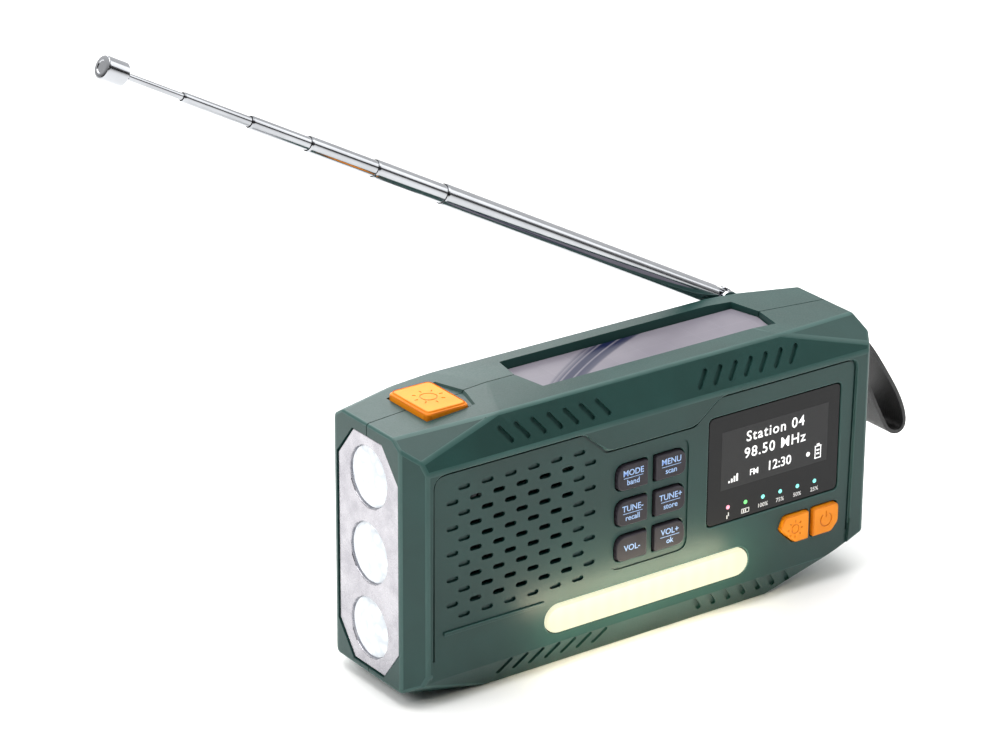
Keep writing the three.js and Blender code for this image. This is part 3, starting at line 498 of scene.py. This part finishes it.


# Cuts or trims one mesh with another; faces of either that carried the mark keep it.
def combine(bm, other, operation):
    pair = []
    for mesh in (bm, other):
        mark = mesh.faces.layers.float[wearAndLightMark]
        for face in mesh.faces:
            face.material_index = int(face[mark] > 0.5)
        data = bpy.data.meshes.new("work")
        mesh.to_mesh(data)
        mesh.free()
        pair.append(bpy.data.objects.new("work", data))
        bpy.context.scene.collection.objects.link(pair[-1])
    tool = pair[0].modifiers.new("tool", "BOOLEAN")
    tool.operation, tool.solver, tool.object = operation, "EXACT", pair[1]
    for piece in pair:
        piece.data.materials.append(None)
        piece.data.materials.append(None)
    result = bmesh.new()
    result.from_mesh(pair[0].evaluated_get(bpy.context.evaluated_depsgraph_get()).data)
    for piece in pair:
        data = piece.data
        bpy.data.objects.remove(piece)
        bpy.data.meshes.remove(data)
    mark = result.faces.layers.float.get(wearAndLightMark) or result.faces.layers.float.new(wearAndLightMark)
    for face in result.faces:
        face[mark] = float(face.material_index == 1)
        face.material_index = 0
    return result


# The convex block round a set of points, with its flats in one piece each.
def wrapped(points):
    hull = newMesh()
    for point in points:
        hull.verts.new(point)
    bmesh.ops.remove_doubles(hull, verts=hull.verts, dist=weld["wrap"])
    made = bmesh.ops.convex_hull(hull, input=hull.verts)
    inside = [item for item in made["geom_interior"] if isinstance(item, bmesh.types.BMVert)]
    bmesh.ops.delete(hull, geom=inside, context="VERTS")
    bmesh.ops.dissolve_limit(hull, angle_limit=flatAngle, verts=hull.verts, edges=hull.edges)
    hull.normal_update()
    return hull


# The whole case as one convex block with rounded edges. It is wrapped again after the bevel, because
# the bevel folds over itself where short edges meet.
def caseEnvelope(radius):
    plain = wrapped([corner.co for name in ("front_shell", "rear_shell")
                     for corner in nodes[name].data.vertices])
    flats = [face.normal.copy() for face in plain.faces]
    softenEdges(plain, radius, 4, 4)
    rounded = wrapped([corner.co for corner in plain.verts])
    plain.free()
    # the rounded faces are marked, so they take the paler edge colour: partly rubbed wear, partly painted
    # highlight
    mark = rounded.faces.layers.float[wearAndLightMark]
    for face in rounded.faces:
        turn = min(face.normal.angle(flat, 0) for flat in flats)
        face[mark] = float(turn > math.radians(2))
    return rounded


# Case, doors and the flat-sided moulded pieces

shellEdges = {"outside": 0.8, "panelRim": 0.35}      # radii in mm
edgeTurns = {"crank_arm": 60}                        # degrees; only its square edges are rounded
edgeRadii = {   # mm: larger on what is touched, crisp on what is only seen
    "torch_reflector": 0.3, "sos_button": 0.5, "battery_door": 0.4, "port_cover": 0.5,
    "crank_arm": 0.5, "crank_hub": 0.4, "light_button": 0.4, "power_button": 0.4,
    "lamp_diffuser": 0.9, "display_window": 0.18,
    "key_mode": 0.4, "key_tune_down": 0.4, "key_volume_down": 0.4, "key_menu": 0.4,
    "key_tune_up": 0.4, "key_volume_up": 0.4,
}


rimArea = {"behind": -20.75, "heights": (11.5, 69.2), "grille": (-70.5, -20, 23, 66)}      # mm


# The rim of the sunk panel and of what is let into it, but not the small grille slots.
def onPanelRim(edge):
    ends = [end.co / mm for end in edge.verts]
    middle = (ends[0] + ends[1]) / 2
    low, high = rimArea["heights"]
    left, right, bottom, top = rimArea["grille"]
    grille = left < middle.x < right and bottom < middle.z < top
    return all(end.y < rimArea["behind"] and low < end.z < high for end in ends) and not grille


panelGroove = {   # mm, let in beside the sunk panel's border; the line gives x, z and corner radius
    "inset": 0.12, "width": 0.6, "floor": -20.75, "front": -22.6,
    "line": ((-73.6, 14, 0), (-73.6, 68.4, 4.4), (-24.4, 68.4, 2.2), (-16.4, 61.4, 2.2),
             (13.6, 61.4, 2.2), (22.2, 68.1, 2.2), (71.4, 68.1, 3.4), (70.4, 15, 0)),
}


# The border's corners, each drawn as a short curve of its radius.
def borderPoints(corners):
    points = []
    for i, (x, z, radius) in enumerate(corners):
        here = Vector((x, z))
        if not radius:
            points.append(here)
            continue
        before, after = ((Vector(corners[k][:2]) - here).normalized() for k in (i - 1, i + 1))
        reach = radius / math.tan(before.angle(after) / 2)
        start, end = here + before * reach, here + after * reach
        points += [start.lerp(here, k / 5).lerp(here.lerp(end, k / 5), k / 5) for k in range(6)]
    return points


def grooveCutter():
    points = borderPoints(panelGroove["line"])
    near, far = panelGroove["inset"], panelGroove["inset"] + panelGroove["width"]
    front, floor = panelGroove["front"], panelGroove["floor"]
    bm = newMesh()
    loops = []
    for i, point in enumerate(points):
        way = (points[min(i + 1, len(points) - 1)] - points[max(i - 1, 0)]).normalized()
        inward = Vector((way.y, -way.x))
        loops.append([bm.verts.new(Vector((spot.x, y, spot.y)) * mm) for spot, y in (
            (point + inward * near, front), (point + inward * far, front),
            (point + inward * far, floor), (point + inward * near, floor))])
    joinLoops(bm, loops, False)
    bmesh.ops.recalc_face_normals(bm, faces=bm.faces)
    return bm


for name in ("front_shell", "rear_shell"):
    bm = cadCopy(name)
    if name == "front_shell":
        softenEdges(bm, shellEdges["panelRim"] * mm, 3, 30, onPanelRim)
        bm = combine(bm, grooveCutter(), "DIFFERENCE")
    fromNode(combine(bm, caseEnvelope(shellEdges["outside"] * mm), "INTERSECT"), name)
print("case halves rounded")


# A ring, or part of one, centred on the face it is cut into.
def iconRing(bm, place, radius, width, depth, part=360, steps=30):
    whole = part == 360
    inner, outer = radius - width / 2, radius + width / 2
    loops = []
    for i in range(steps if whole else steps + 1):
        turn = math.radians(part) * i / steps
        loops.append([
            bm.verts.new(place @ Vector((r * mm * math.cos(turn), r * mm * math.sin(turn), z * mm)))
            for r, z in ((inner, -depth), (outer, -depth), (outer, depth), (inner, depth))])
    joinLoops(bm, loops, whole)


# A bar centred on the face it marks, to stand out from it or to be cut into it.
def markBar(bm, place, x, z, width, height, tall, turn=0.0):
    made = bmesh.ops.create_cube(bm, size=1.0)
    bmesh.ops.scale(bm, vec=(width * mm, height * mm, 2 * tall * mm), verts=made["verts"])
    bmesh.ops.rotate(bm, cent=(0, 0, 0), matrix=Matrix.Rotation(turn, 3, "Z"), verts=made["verts"])
    bmesh.ops.translate(bm, vec=(x * mm, z * mm, 0), verts=made["verts"])
    bmesh.ops.transform(bm, matrix=place, verts=made["verts"])


iconCut = {"depth": 0.16, "line": 0.4, "rays": 8, "gap": 70, "stroke": (1.7, 1.9)}   # mm, degrees
iconRings = {   # radius, ray radius, ray length in mm; the power sign has a gap and a stroke instead
    "sos_button": (2.3, 4.0, 1.1), "light_button": (1.3, 2.4, 0.8), "power_button": (2.0, 0, 0),
}


def iconCutter(name):
    low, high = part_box(name)
    radius, rayRadius, rayLength = iconRings[name]
    depth, line = iconCut["depth"], iconCut["line"]
    middle = (low + high) / 2
    if name == "sos_button":
        place = Matrix.Translation((middle.x, middle.y, high.z))
    else:
        place = facing((middle.x, low.y, middle.z))
    bm = newMesh()
    if rayRadius:
        iconRing(bm, place, radius, line, depth)
        for k in range(iconCut["rays"]):
            turn = 2 * math.pi * k / iconCut["rays"]
            markBar(bm, place, rayRadius * math.cos(turn), rayRadius * math.sin(turn), rayLength, line,
                    depth, turn)
    else:
        start = Matrix.Rotation(math.radians(90 + iconCut["gap"] / 2), 4, "Z")
        iconRing(bm, place @ start, radius, line, depth, 360 - iconCut["gap"])
        markBar(bm, place, 0, iconCut["stroke"][0], line, iconCut["stroke"][1], depth)
    bmesh.ops.recalc_face_normals(bm, faces=bm.faces)
    mark = bm.faces.layers.float[wearAndLightMark]
    for face in bm.faces:
        face[mark] = 1.0
    return bm


for name, radius in edgeRadii.items():
    bm = cadCopy(name)
    softenEdges(bm, radius * mm, 3, edgeTurns.get(name, 8))
    if name in iconRings:
        bm = combine(bm, iconCutter(name), "DIFFERENCE")
    fromNode(bm, name)
print("moulded pieces softened:", len(edgeRadii))

# Legends, display and indicator lights, all on the front


inkThickness = 0.03      # mm


def flatText(bm, words, size, x, z, front, spacing=1.0):
    curve = bpy.data.curves.new("words", "FONT")
    curve.body = words
    curve.size = size * mm
    curve.align_x = "CENTER"
    curve.align_y = "CENTER"
    curve.space_character = spacing
    curve.extrude = inkThickness * mm / 2
    curve.resolution_u = 3
    curve.offset = 0.011 * size * mm      # slightly bold
    holder = bpy.data.objects.new("words", curve)
    bpy.context.scene.collection.objects.link(holder)
    flat = bpy.data.meshes.new_from_object(holder)
    flat.transform(facing((x * mm, front - inkThickness * mm / 2, z * mm)))
    bm.from_mesh(flat)
    bpy.data.objects.remove(holder)
    bpy.data.curves.remove(curve)
    bpy.data.meshes.remove(flat)


def flatBar(bm, x, z, width, height, front, thickness=inkThickness):
    made = bmesh.ops.create_cube(bm, size=1.0)
    bmesh.ops.scale(bm, vec=(width * mm, thickness * mm, height * mm), verts=made["verts"])
    bmesh.ops.translate(bm, vec=(x * mm, front - thickness * mm / 2, z * mm), verts=made["verts"])


def flatDot(bm, x, z, radius, front, thickness=inkThickness):
    bmesh.ops.create_cone(bm, cap_ends=True, segments=20, radius1=radius * mm, radius2=radius * mm,
                          depth=thickness * mm,
                          matrix=facing((x * mm, front - thickness * mm / 2, z * mm)))


keyText = {      # sizes and heights in mm; the rule between the two words gives width and height
    "upper": 2.5, "lower": 2.3, "upperZ": 1.35, "lowerZ": -1.45, "ruleZ": -0.05, "rule": (6.6, 0.16),
}
legends = {
    "key_mode": ("MODE", "band"), "key_menu": ("MENU", "scan"),
    "key_tune_down": ("TUNE-", "recall"), "key_tune_up": ("TUNE+", "store"),
    "key_volume_down": ("VOL-", ""), "key_volume_up": ("VOL+", "ok"),
}
for name, (upper, lower) in legends.items():
    low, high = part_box(name)
    x, z = (low.x + high.x) / 2 / mm, (low.z + high.z) / 2 / mm
    bm = newMesh()
    if lower:
        flatText(bm, upper, keyText["upper"], x, z + keyText["upperZ"], low.y)
        flatText(bm, lower, keyText["lower"], x, z + keyText["lowerZ"], low.y)
        flatBar(bm, x, z + keyText["ruleZ"], *keyText["rule"], low.y)
    else:
        flatText(bm, upper, keyText["upper"], x, z, low.y)
    meshObject(bm, name + ".legend", legendInkAndGlow, bodyOf[name])

display = {   # mm: text rows give words, size, x, z and spacing; bars give x, z, width and height
    "panel": (23.7, 61.9, 38.85, 56.5), "panelThickness": 0.02,
    "rows": (("Station 04", 4.4, 42.8, 53.1, 1.15), ("98.50 MHz", 4.4, 42.8, 48.1, 1.15),
             ("12:30", 4.0, 44.5, 42.2, 1.0), ("FM", 2.6, 35.5, 41.9, 1.0)),
    "signal": [(26.6 + i * 0.95, 40.9 + i * 0.28, 0.55, 0.6 + i * 0.56) for i in range(4)],
    "cell": [(58.6, 43.9, 2.3, 0.3), (58.6, 40.3, 2.3, 0.3), (57.6, 42.1, 0.3, 3.9),
             (59.6, 42.1, 0.3, 3.9), (58.6, 44.4, 1.0, 0.5), (58.6, 41.6, 1.1, 0.5),
             (58.6, 42.7, 1.1, 0.5)],
    "dot": (55.0, 42.2, 0.7),
}
indicators = {   # mm: a row of lights, with a charging sign, a cell sign or a level under each
    "x": 26.49, "step": 6.26, "z": 33.28, "radius": 0.62, "thickness": 0.05,
    "signs": ([(0.25, -2.2, 0.35, 1.1), (-0.25, -3.0, 0.35, 1.1)],
              [(0, -2.0, 2.8, 0.22), (0, -3.2, 2.8, 0.22), (-1.3, -2.6, 0.22, 1.3),
               (1.3, -2.6, 0.22, 1.3), (-0.6, -2.6, 0.4, 0.8), (0.1, -2.6, 0.4, 0.8)]),
    "levels": ("100%", "75%", "50%", "25%"), "levelSize": 1.75, "levelZ": -2.5,
}
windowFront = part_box("display_window")[0].y
left, right, bottom, top = display["panel"]
middle = (left + right) / 2
bm = newMesh()
flatBar(bm, middle, (bottom + top) / 2, right - left, top - bottom, windowFront,
        display["panelThickness"])
meshObject(bm, "display_panel", finishes["display_glass"], "case")

bm = newMesh()
segmentFront = windowFront - display["panelThickness"] * mm
for words, size, x, z, spacing in display["rows"]:
    flatText(bm, words, size, x, z, segmentFront, spacing)
for bar in display["signal"]:
    flatBar(bm, *bar, segmentFront)
flatDot(bm, *display["dot"], segmentFront)
for bar in display["cell"]:
    flatBar(bm, *bar, segmentFront)
meshObject(bm, "display_segments", segmentLight, "case")

bm = newMesh()
spots = [indicators["x"] + i * indicators["step"] for i in range(6)]
for x, sign in zip(spots, indicators["signs"]):
    for dx, dz, width, height in sign:
        flatBar(bm, x + dx, indicators["z"] + dz, width, height, windowFront)
for x, level in zip(spots[2:], indicators["levels"]):
    flatText(bm, level, indicators["levelSize"], x, indicators["z"] + indicators["levelZ"], windowFront)
meshObject(bm, "window_labels", labelInkAndGlow, "case")

for i, x in enumerate(spots):
    bm = newMesh()
    flatDot(bm, x, indicators["z"], indicators["radius"], windowFront, indicators["thickness"])
    meshObject(bm, f"indicator_{i + 1}", ledLights[min(i, 2)], "case")
print("display and legends done")

# The ridge under the grille, grips on the rear, and the case screws

panelRidge = {"floor": -21.2, "place": (-53.5, 21.5), "bar": (33, 1.1, 0.55), "round": 0.15}     # mm
doorMarks = {    # mm and degrees; each bar gives length, width and height
    "ribs": 6, "ribStart": 5, "ribStep": 1.6, "rib": (0.8, 15, 0.35),
    "arrowStart": 8, "arrowOffset": 2.1, "arrow": (7, 1.0, 0.3), "arrowTurn": 38, "round": 0.15,
}
coverTab = {"drop": 2.4, "bar": (9, 1.6, 0.5), "round": 0.3}       # mm

bm = newMesh()
markBar(bm, facing((0, panelRidge["floor"] * mm, 0)), *panelRidge["place"], *panelRidge["bar"])
softenEdges(bm, panelRidge["round"] * mm, 2)
meshObject(bm, "panel_ridge", finishes["shell_green"], "case")

low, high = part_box("battery_door")
rear, doorZ = facing((0, high.y, 0), -1), -(low.z + high.z) / 2 / mm
bm = newMesh()
for k in range(doorMarks["ribs"]):      # thumb grip at the door's inner end
    x = high.x / mm - doorMarks["ribStart"] - doorMarks["ribStep"] * k
    markBar(bm, rear, x, doorZ, *doorMarks["rib"])
for k in (-1, 1):       # arrow that shows which way it comes off
    x, turn = low.x / mm + doorMarks["arrowStart"], math.radians(doorMarks["arrowTurn"]) * k
    markBar(bm, rear, x, doorZ + doorMarks["arrowOffset"] * k, *doorMarks["arrow"], turn)
softenEdges(bm, doorMarks["round"] * mm, 2)
meshObject(bm, "battery_door.grip", finishes["shell_green"], "battery_door")

low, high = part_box("port_cover")
bm = newMesh()
markBar(bm, facing((0, high.y, 0), -1), (low.x + high.x) / 2 / mm, coverTab["drop"] - high.z / mm,
        *coverTab["bar"])
softenEdges(bm, coverTab["round"] * mm, 3)
meshObject(bm, "port_cover.tab", finishes["cover_rubber"], "port_cover")

crossRecess = {"length": 2.6, "width": 0.6, "depth": 1.0}    # mm
for i in range(1, 5):   # turned screws; each arm of the cross is cut by itself
    name = f"case_screw_{i}"
    low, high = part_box(name)
    place = along(((low.x + high.x) / 2, high.y, (low.z + high.z) / 2), (0, 1, 0))
    head = cadCopy(name)
    for turn in (0, math.pi / 2):
        slot = newMesh()
        markBar(slot, place, 0, 0, crossRecess["length"], crossRecess["width"], crossRecess["depth"],
                turn)
        head = combine(head, slot, "DIFFERENCE")
    fromNode(head, name)
print("marks, grips and screws done")

# Telescopic antenna

antennaLook = {     # mm; the lug under the base tube gives width, depth and height
    "steps": 40, "wall": 0.25, "lip": 0.35, "tubeStart": 4,
    "lug": (4.2, 2.3, 7), "lugMiddle": 1.5, "lugRound": 0.6, "jointRound": 0.25,
}
tipLook = {"foot": 0.6, "shoulder": 0.7, "dish": 1.4, "turn": 0.2}       # mm
pivot = joints["antenna_swing"]["pos_m"]
mast = joints["antenna_slide_2"]["axis"]
place = along(pivot, mast)
tubeNodes = ["antenna_base_tube"] + [f"antenna_section_{i}" for i in range(2, 7)]
wall, lip = antennaLook["wall"] * mm, antennaLook["lip"] * mm
for name in tubeNodes:
    low, high, radius = reachOf(name, pivot, mast)
    if name == tubeNodes[0]:
        low = antennaLook["tubeStart"] * mm
    inner = 0 if name == tubeNodes[-1] else radius - wall       # the last section is a solid rod
    tube = newMesh()
    spun(tube, [(inner, low), (radius - lip, low), (radius, low + lip), (radius, high - 2 * lip),
                (radius - 0.3 * lip, high - lip), (radius - 0.5 * lip, high), (inner, high)],
         place, antennaLook["steps"])
    if name == tubeNodes[0]:
        lug = newMesh()
        made = bmesh.ops.create_cube(lug, size=1.0)
        bmesh.ops.scale(lug, vec=Vector(antennaLook["lug"]) * mm, verts=made["verts"])
        bmesh.ops.translate(lug, vec=(0, 0, antennaLook["lugMiddle"] * mm), verts=made["verts"])
        softenEdges(lug, antennaLook["lugRound"] * mm)
        lug.transform(place @ Matrix.Rotation(math.pi / 2, 4, "Z"))
        spare = bpy.data.meshes.new("lug")
        lug.to_mesh(spare)
        lug.free()
        tube.from_mesh(spare)
        bpy.data.meshes.remove(spare)
    meshObject(tube, name + ".tube", finishes["antenna_chrome"], bodyOf[name], [name])

low, high, radius = reachOf("antenna_tip", pivot, mast)
foot, shoulder, dish, turn = (tipLook[part] * mm for part in ("foot", "shoulder", "dish", "turn"))
bm = newMesh()
spun(bm, [(0, low), (radius - foot, low), (radius, low + foot), (radius, high - shoulder),
          (radius - turn, high - turn), (radius - shoulder, high), (radius - dish, high),
          (radius - dish - turn, high - turn), (0, high - turn)], place)
meshObject(bm, "antenna_tip.cap", finishes["antenna_chrome"], "antenna_6",
           ["antenna_tip"])
for name in ("antenna_knuckle", "antenna_rivet"):
    bm = cadCopy(name)
    softenEdges(bm, antennaLook["jointRound"] * mm, 2)
    fromNode(bm, name)
print("antenna done")

# Torch lenses, crank knob

lensDome = {"rim": 0.42, "arcs": 8, "steps": 56}      # the rim is a share of the lens's depth
for i in (1, 2, 3):
    name = f"torch_lens_{i}"
    low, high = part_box(name)
    centre = ((low.x + high.x) / 2, (low.y + high.y) / 2, (low.z + high.z) / 2)
    radius, depth = (high.z - low.z) / 2, high.x - low.x
    bm = newMesh()
    profile = [(0, -depth / 2), (radius, -depth / 2)]
    for k in range(lensDome["arcs"], -1, -1):
        a = math.pi / 2 * k / lensDome["arcs"]
        rise = lensDome["rim"] + (1 - lensDome["rim"]) * math.cos(a)
        profile.append((radius * math.sin(a), depth * (rise - 0.5)))
    spun(bm, profile, along(centre, (-1, 0, 0)), lensDome["steps"])
    meshObject(bm, name + ".dome", finishes["torch_lens"], "case", [name])

knobLook = {     # mm; foot and crown give how far in from the side and how far from the end
    "bore": 1.5, "foot": ((1.1, 0), (0.3, 0.5)), "crown": ((0.5, 0.6), (1.5, 0)), "cap": 2.5,
    "grooves": 4, "grooveDepth": 0.45, "grooveHalf": 0.8, "steps": 48,
}
knobX, knobZ = joints["crank_knob_spin"]["pos_m"][0], joints["crank_knob_spin"]["pos_m"][2]
low, high, radius = reachOf("crank_knob", (knobX, 0, knobZ), (0, 1, 0))
bore, cap = knobLook["bore"] * mm, high - knobLook["cap"] * mm
outline = [(bore, low)] + [(radius - inward * mm, low + up * mm) for inward, up in knobLook["foot"]]
for k in range(knobLook["grooves"]):    # finger grooves round the knob
    at = low + (high - low) * (k + 1) / (knobLook["grooves"] + 1)
    half = knobLook["grooveHalf"] * mm
    outline += [(radius, at - half), (radius - knobLook["grooveDepth"] * mm, at), (radius, at + half)]
outline += [(radius - inward * mm, high - down * mm) for inward, down in knobLook["crown"]]
outline += [(0, high), (0, cap), (bore, cap)]
bm = newMesh()
spun(bm, outline, along((knobX, 0, knobZ), (0, 1, 0)), knobLook["steps"])
meshObject(bm, "crank_knob.grip", finishes["black_plastic"], "crank_knob",
           ["crank_knob"], 50)
print("lenses and knob done")

# Wrist strap: the closed route in X and Z, in mm, with the loop folded round its pin

strapShape = {
    "route": [(73.75, 66.8), (74.9, 68.9), (77.2, 69.6), (81, 69.3), (84.9, 65.6), (89.3, 59.9),
              (96.8, 48.2), (100.3, 40.6), (100.7, 35.9), (98.2, 34.4), (94.5, 36.3), (90.9, 42.6),
              (87.5, 49.3), (83.3, 56.8), (80.8, 61.8), (78.2, 64.2), (75.2, 64.7)],
    "width": 19.6, "thickness": 1.1, "stepsBetween": 6, "across": 12,
}


# The route's points joined by a smooth closed curve.
def strapPath():
    points = [Vector((x, 0, z)) * mm for x, z in strapShape["route"]]
    path = []
    for i in range(len(points)):
        a, b, c, d = (points[(i + k) % len(points)] for k in (-1, 0, 1, 2))
        for s in range(strapShape["stepsBetween"]):
            t = s / strapShape["stepsBetween"]
            path.append(0.5 * (2 * b + (c - a) * t + (2 * a - 5 * b + 4 * c - d) * t * t
                               + (3 * b - a - 3 * c + d) * t ** 3))
    return path


path = strapPath()
bm = newMesh()
half = strapShape["width"] * mm / 2
start = [bm.verts.new(point - Vector((0, half, 0))) for point in path]
edges = [bm.edges.new((start[i], start[(i + 1) % len(start)])) for i in range(len(start))]
for step in range(strapShape["across"]):
    made = bmesh.ops.extrude_edge_only(bm, edges=edges)
    fresh = [item for item in made["geom"] if isinstance(item, bmesh.types.BMVert)]
    edges = [item for item in made["geom"] if isinstance(item, bmesh.types.BMEdge)
             and all(end in fresh for end in item.verts)]
    bmesh.ops.translate(bm, vec=(0, 2 * half / strapShape["across"], 0), verts=fresh)
bmesh.ops.recalc_face_normals(bm, faces=bm.faces)
lengths = [0.0]
for i in range(len(path)):
    lengths.append(lengths[-1] + (path[(i + 1) % len(path)] - path[i]).length)
weave = bm.loops.layers.uv.new("weave")
for face in bm.faces:
    centre = face.calc_center_median()
    spots = []
    for loop in face.loops:
        at = loop.vert.co
        k = min(range(len(path)), key=lambda i: (path[i].x - at.x) ** 2 + (path[i].z - at.z) ** 2)
        spots.append((loop, lengths[k], at.y))
    wraps = max(s[1] for s in spots) - min(s[1] for s in spots) > lengths[-1] / 2
    for loop, run, across in spots:
        if wraps and run < lengths[-1] / 2:
            run += lengths[-1]
        loop[weave].uv = (run / mm, across / mm)
strap = meshObject(bm, "wrist_strap.webbing", finishes["strap_webbing"], "wrist_strap",
                   ["wrist_strap"], 60)
strap.modifiers.clear()
wall = strap.modifiers.new("wall", "SOLIDIFY")
wall.thickness = strapShape["thickness"] * mm
wall.offset = 0
print("strap done")

# Warm light that the lamp strip throws back on the panel round it

spillLook = {"watts": 0.017, "colour": (1.0, 0.9, 0.62), "away": 11, "height": 0.6}    # mm, share of lamp
low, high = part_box("lamp_diffuser")
spill = bpy.data.lights.new("lampSpill", "AREA")
spill.shape = "RECTANGLE"
spill.size, spill.size_y = high.x - low.x, (high.z - low.z) * spillLook["height"]
spill.energy = spillLook["watts"]
spill.color = spillLook["colour"]
spillLamp = bpy.data.objects.new("lampSpill", spill)
spillLamp.location = ((low.x + high.x) / 2, low.y - spillLook["away"] * mm, (low.z + high.z) / 2)
spillLamp.rotation_euler = (math.pi / 2, 0, 0)
bpy.context.scene.collection.objects.link(spillLamp)
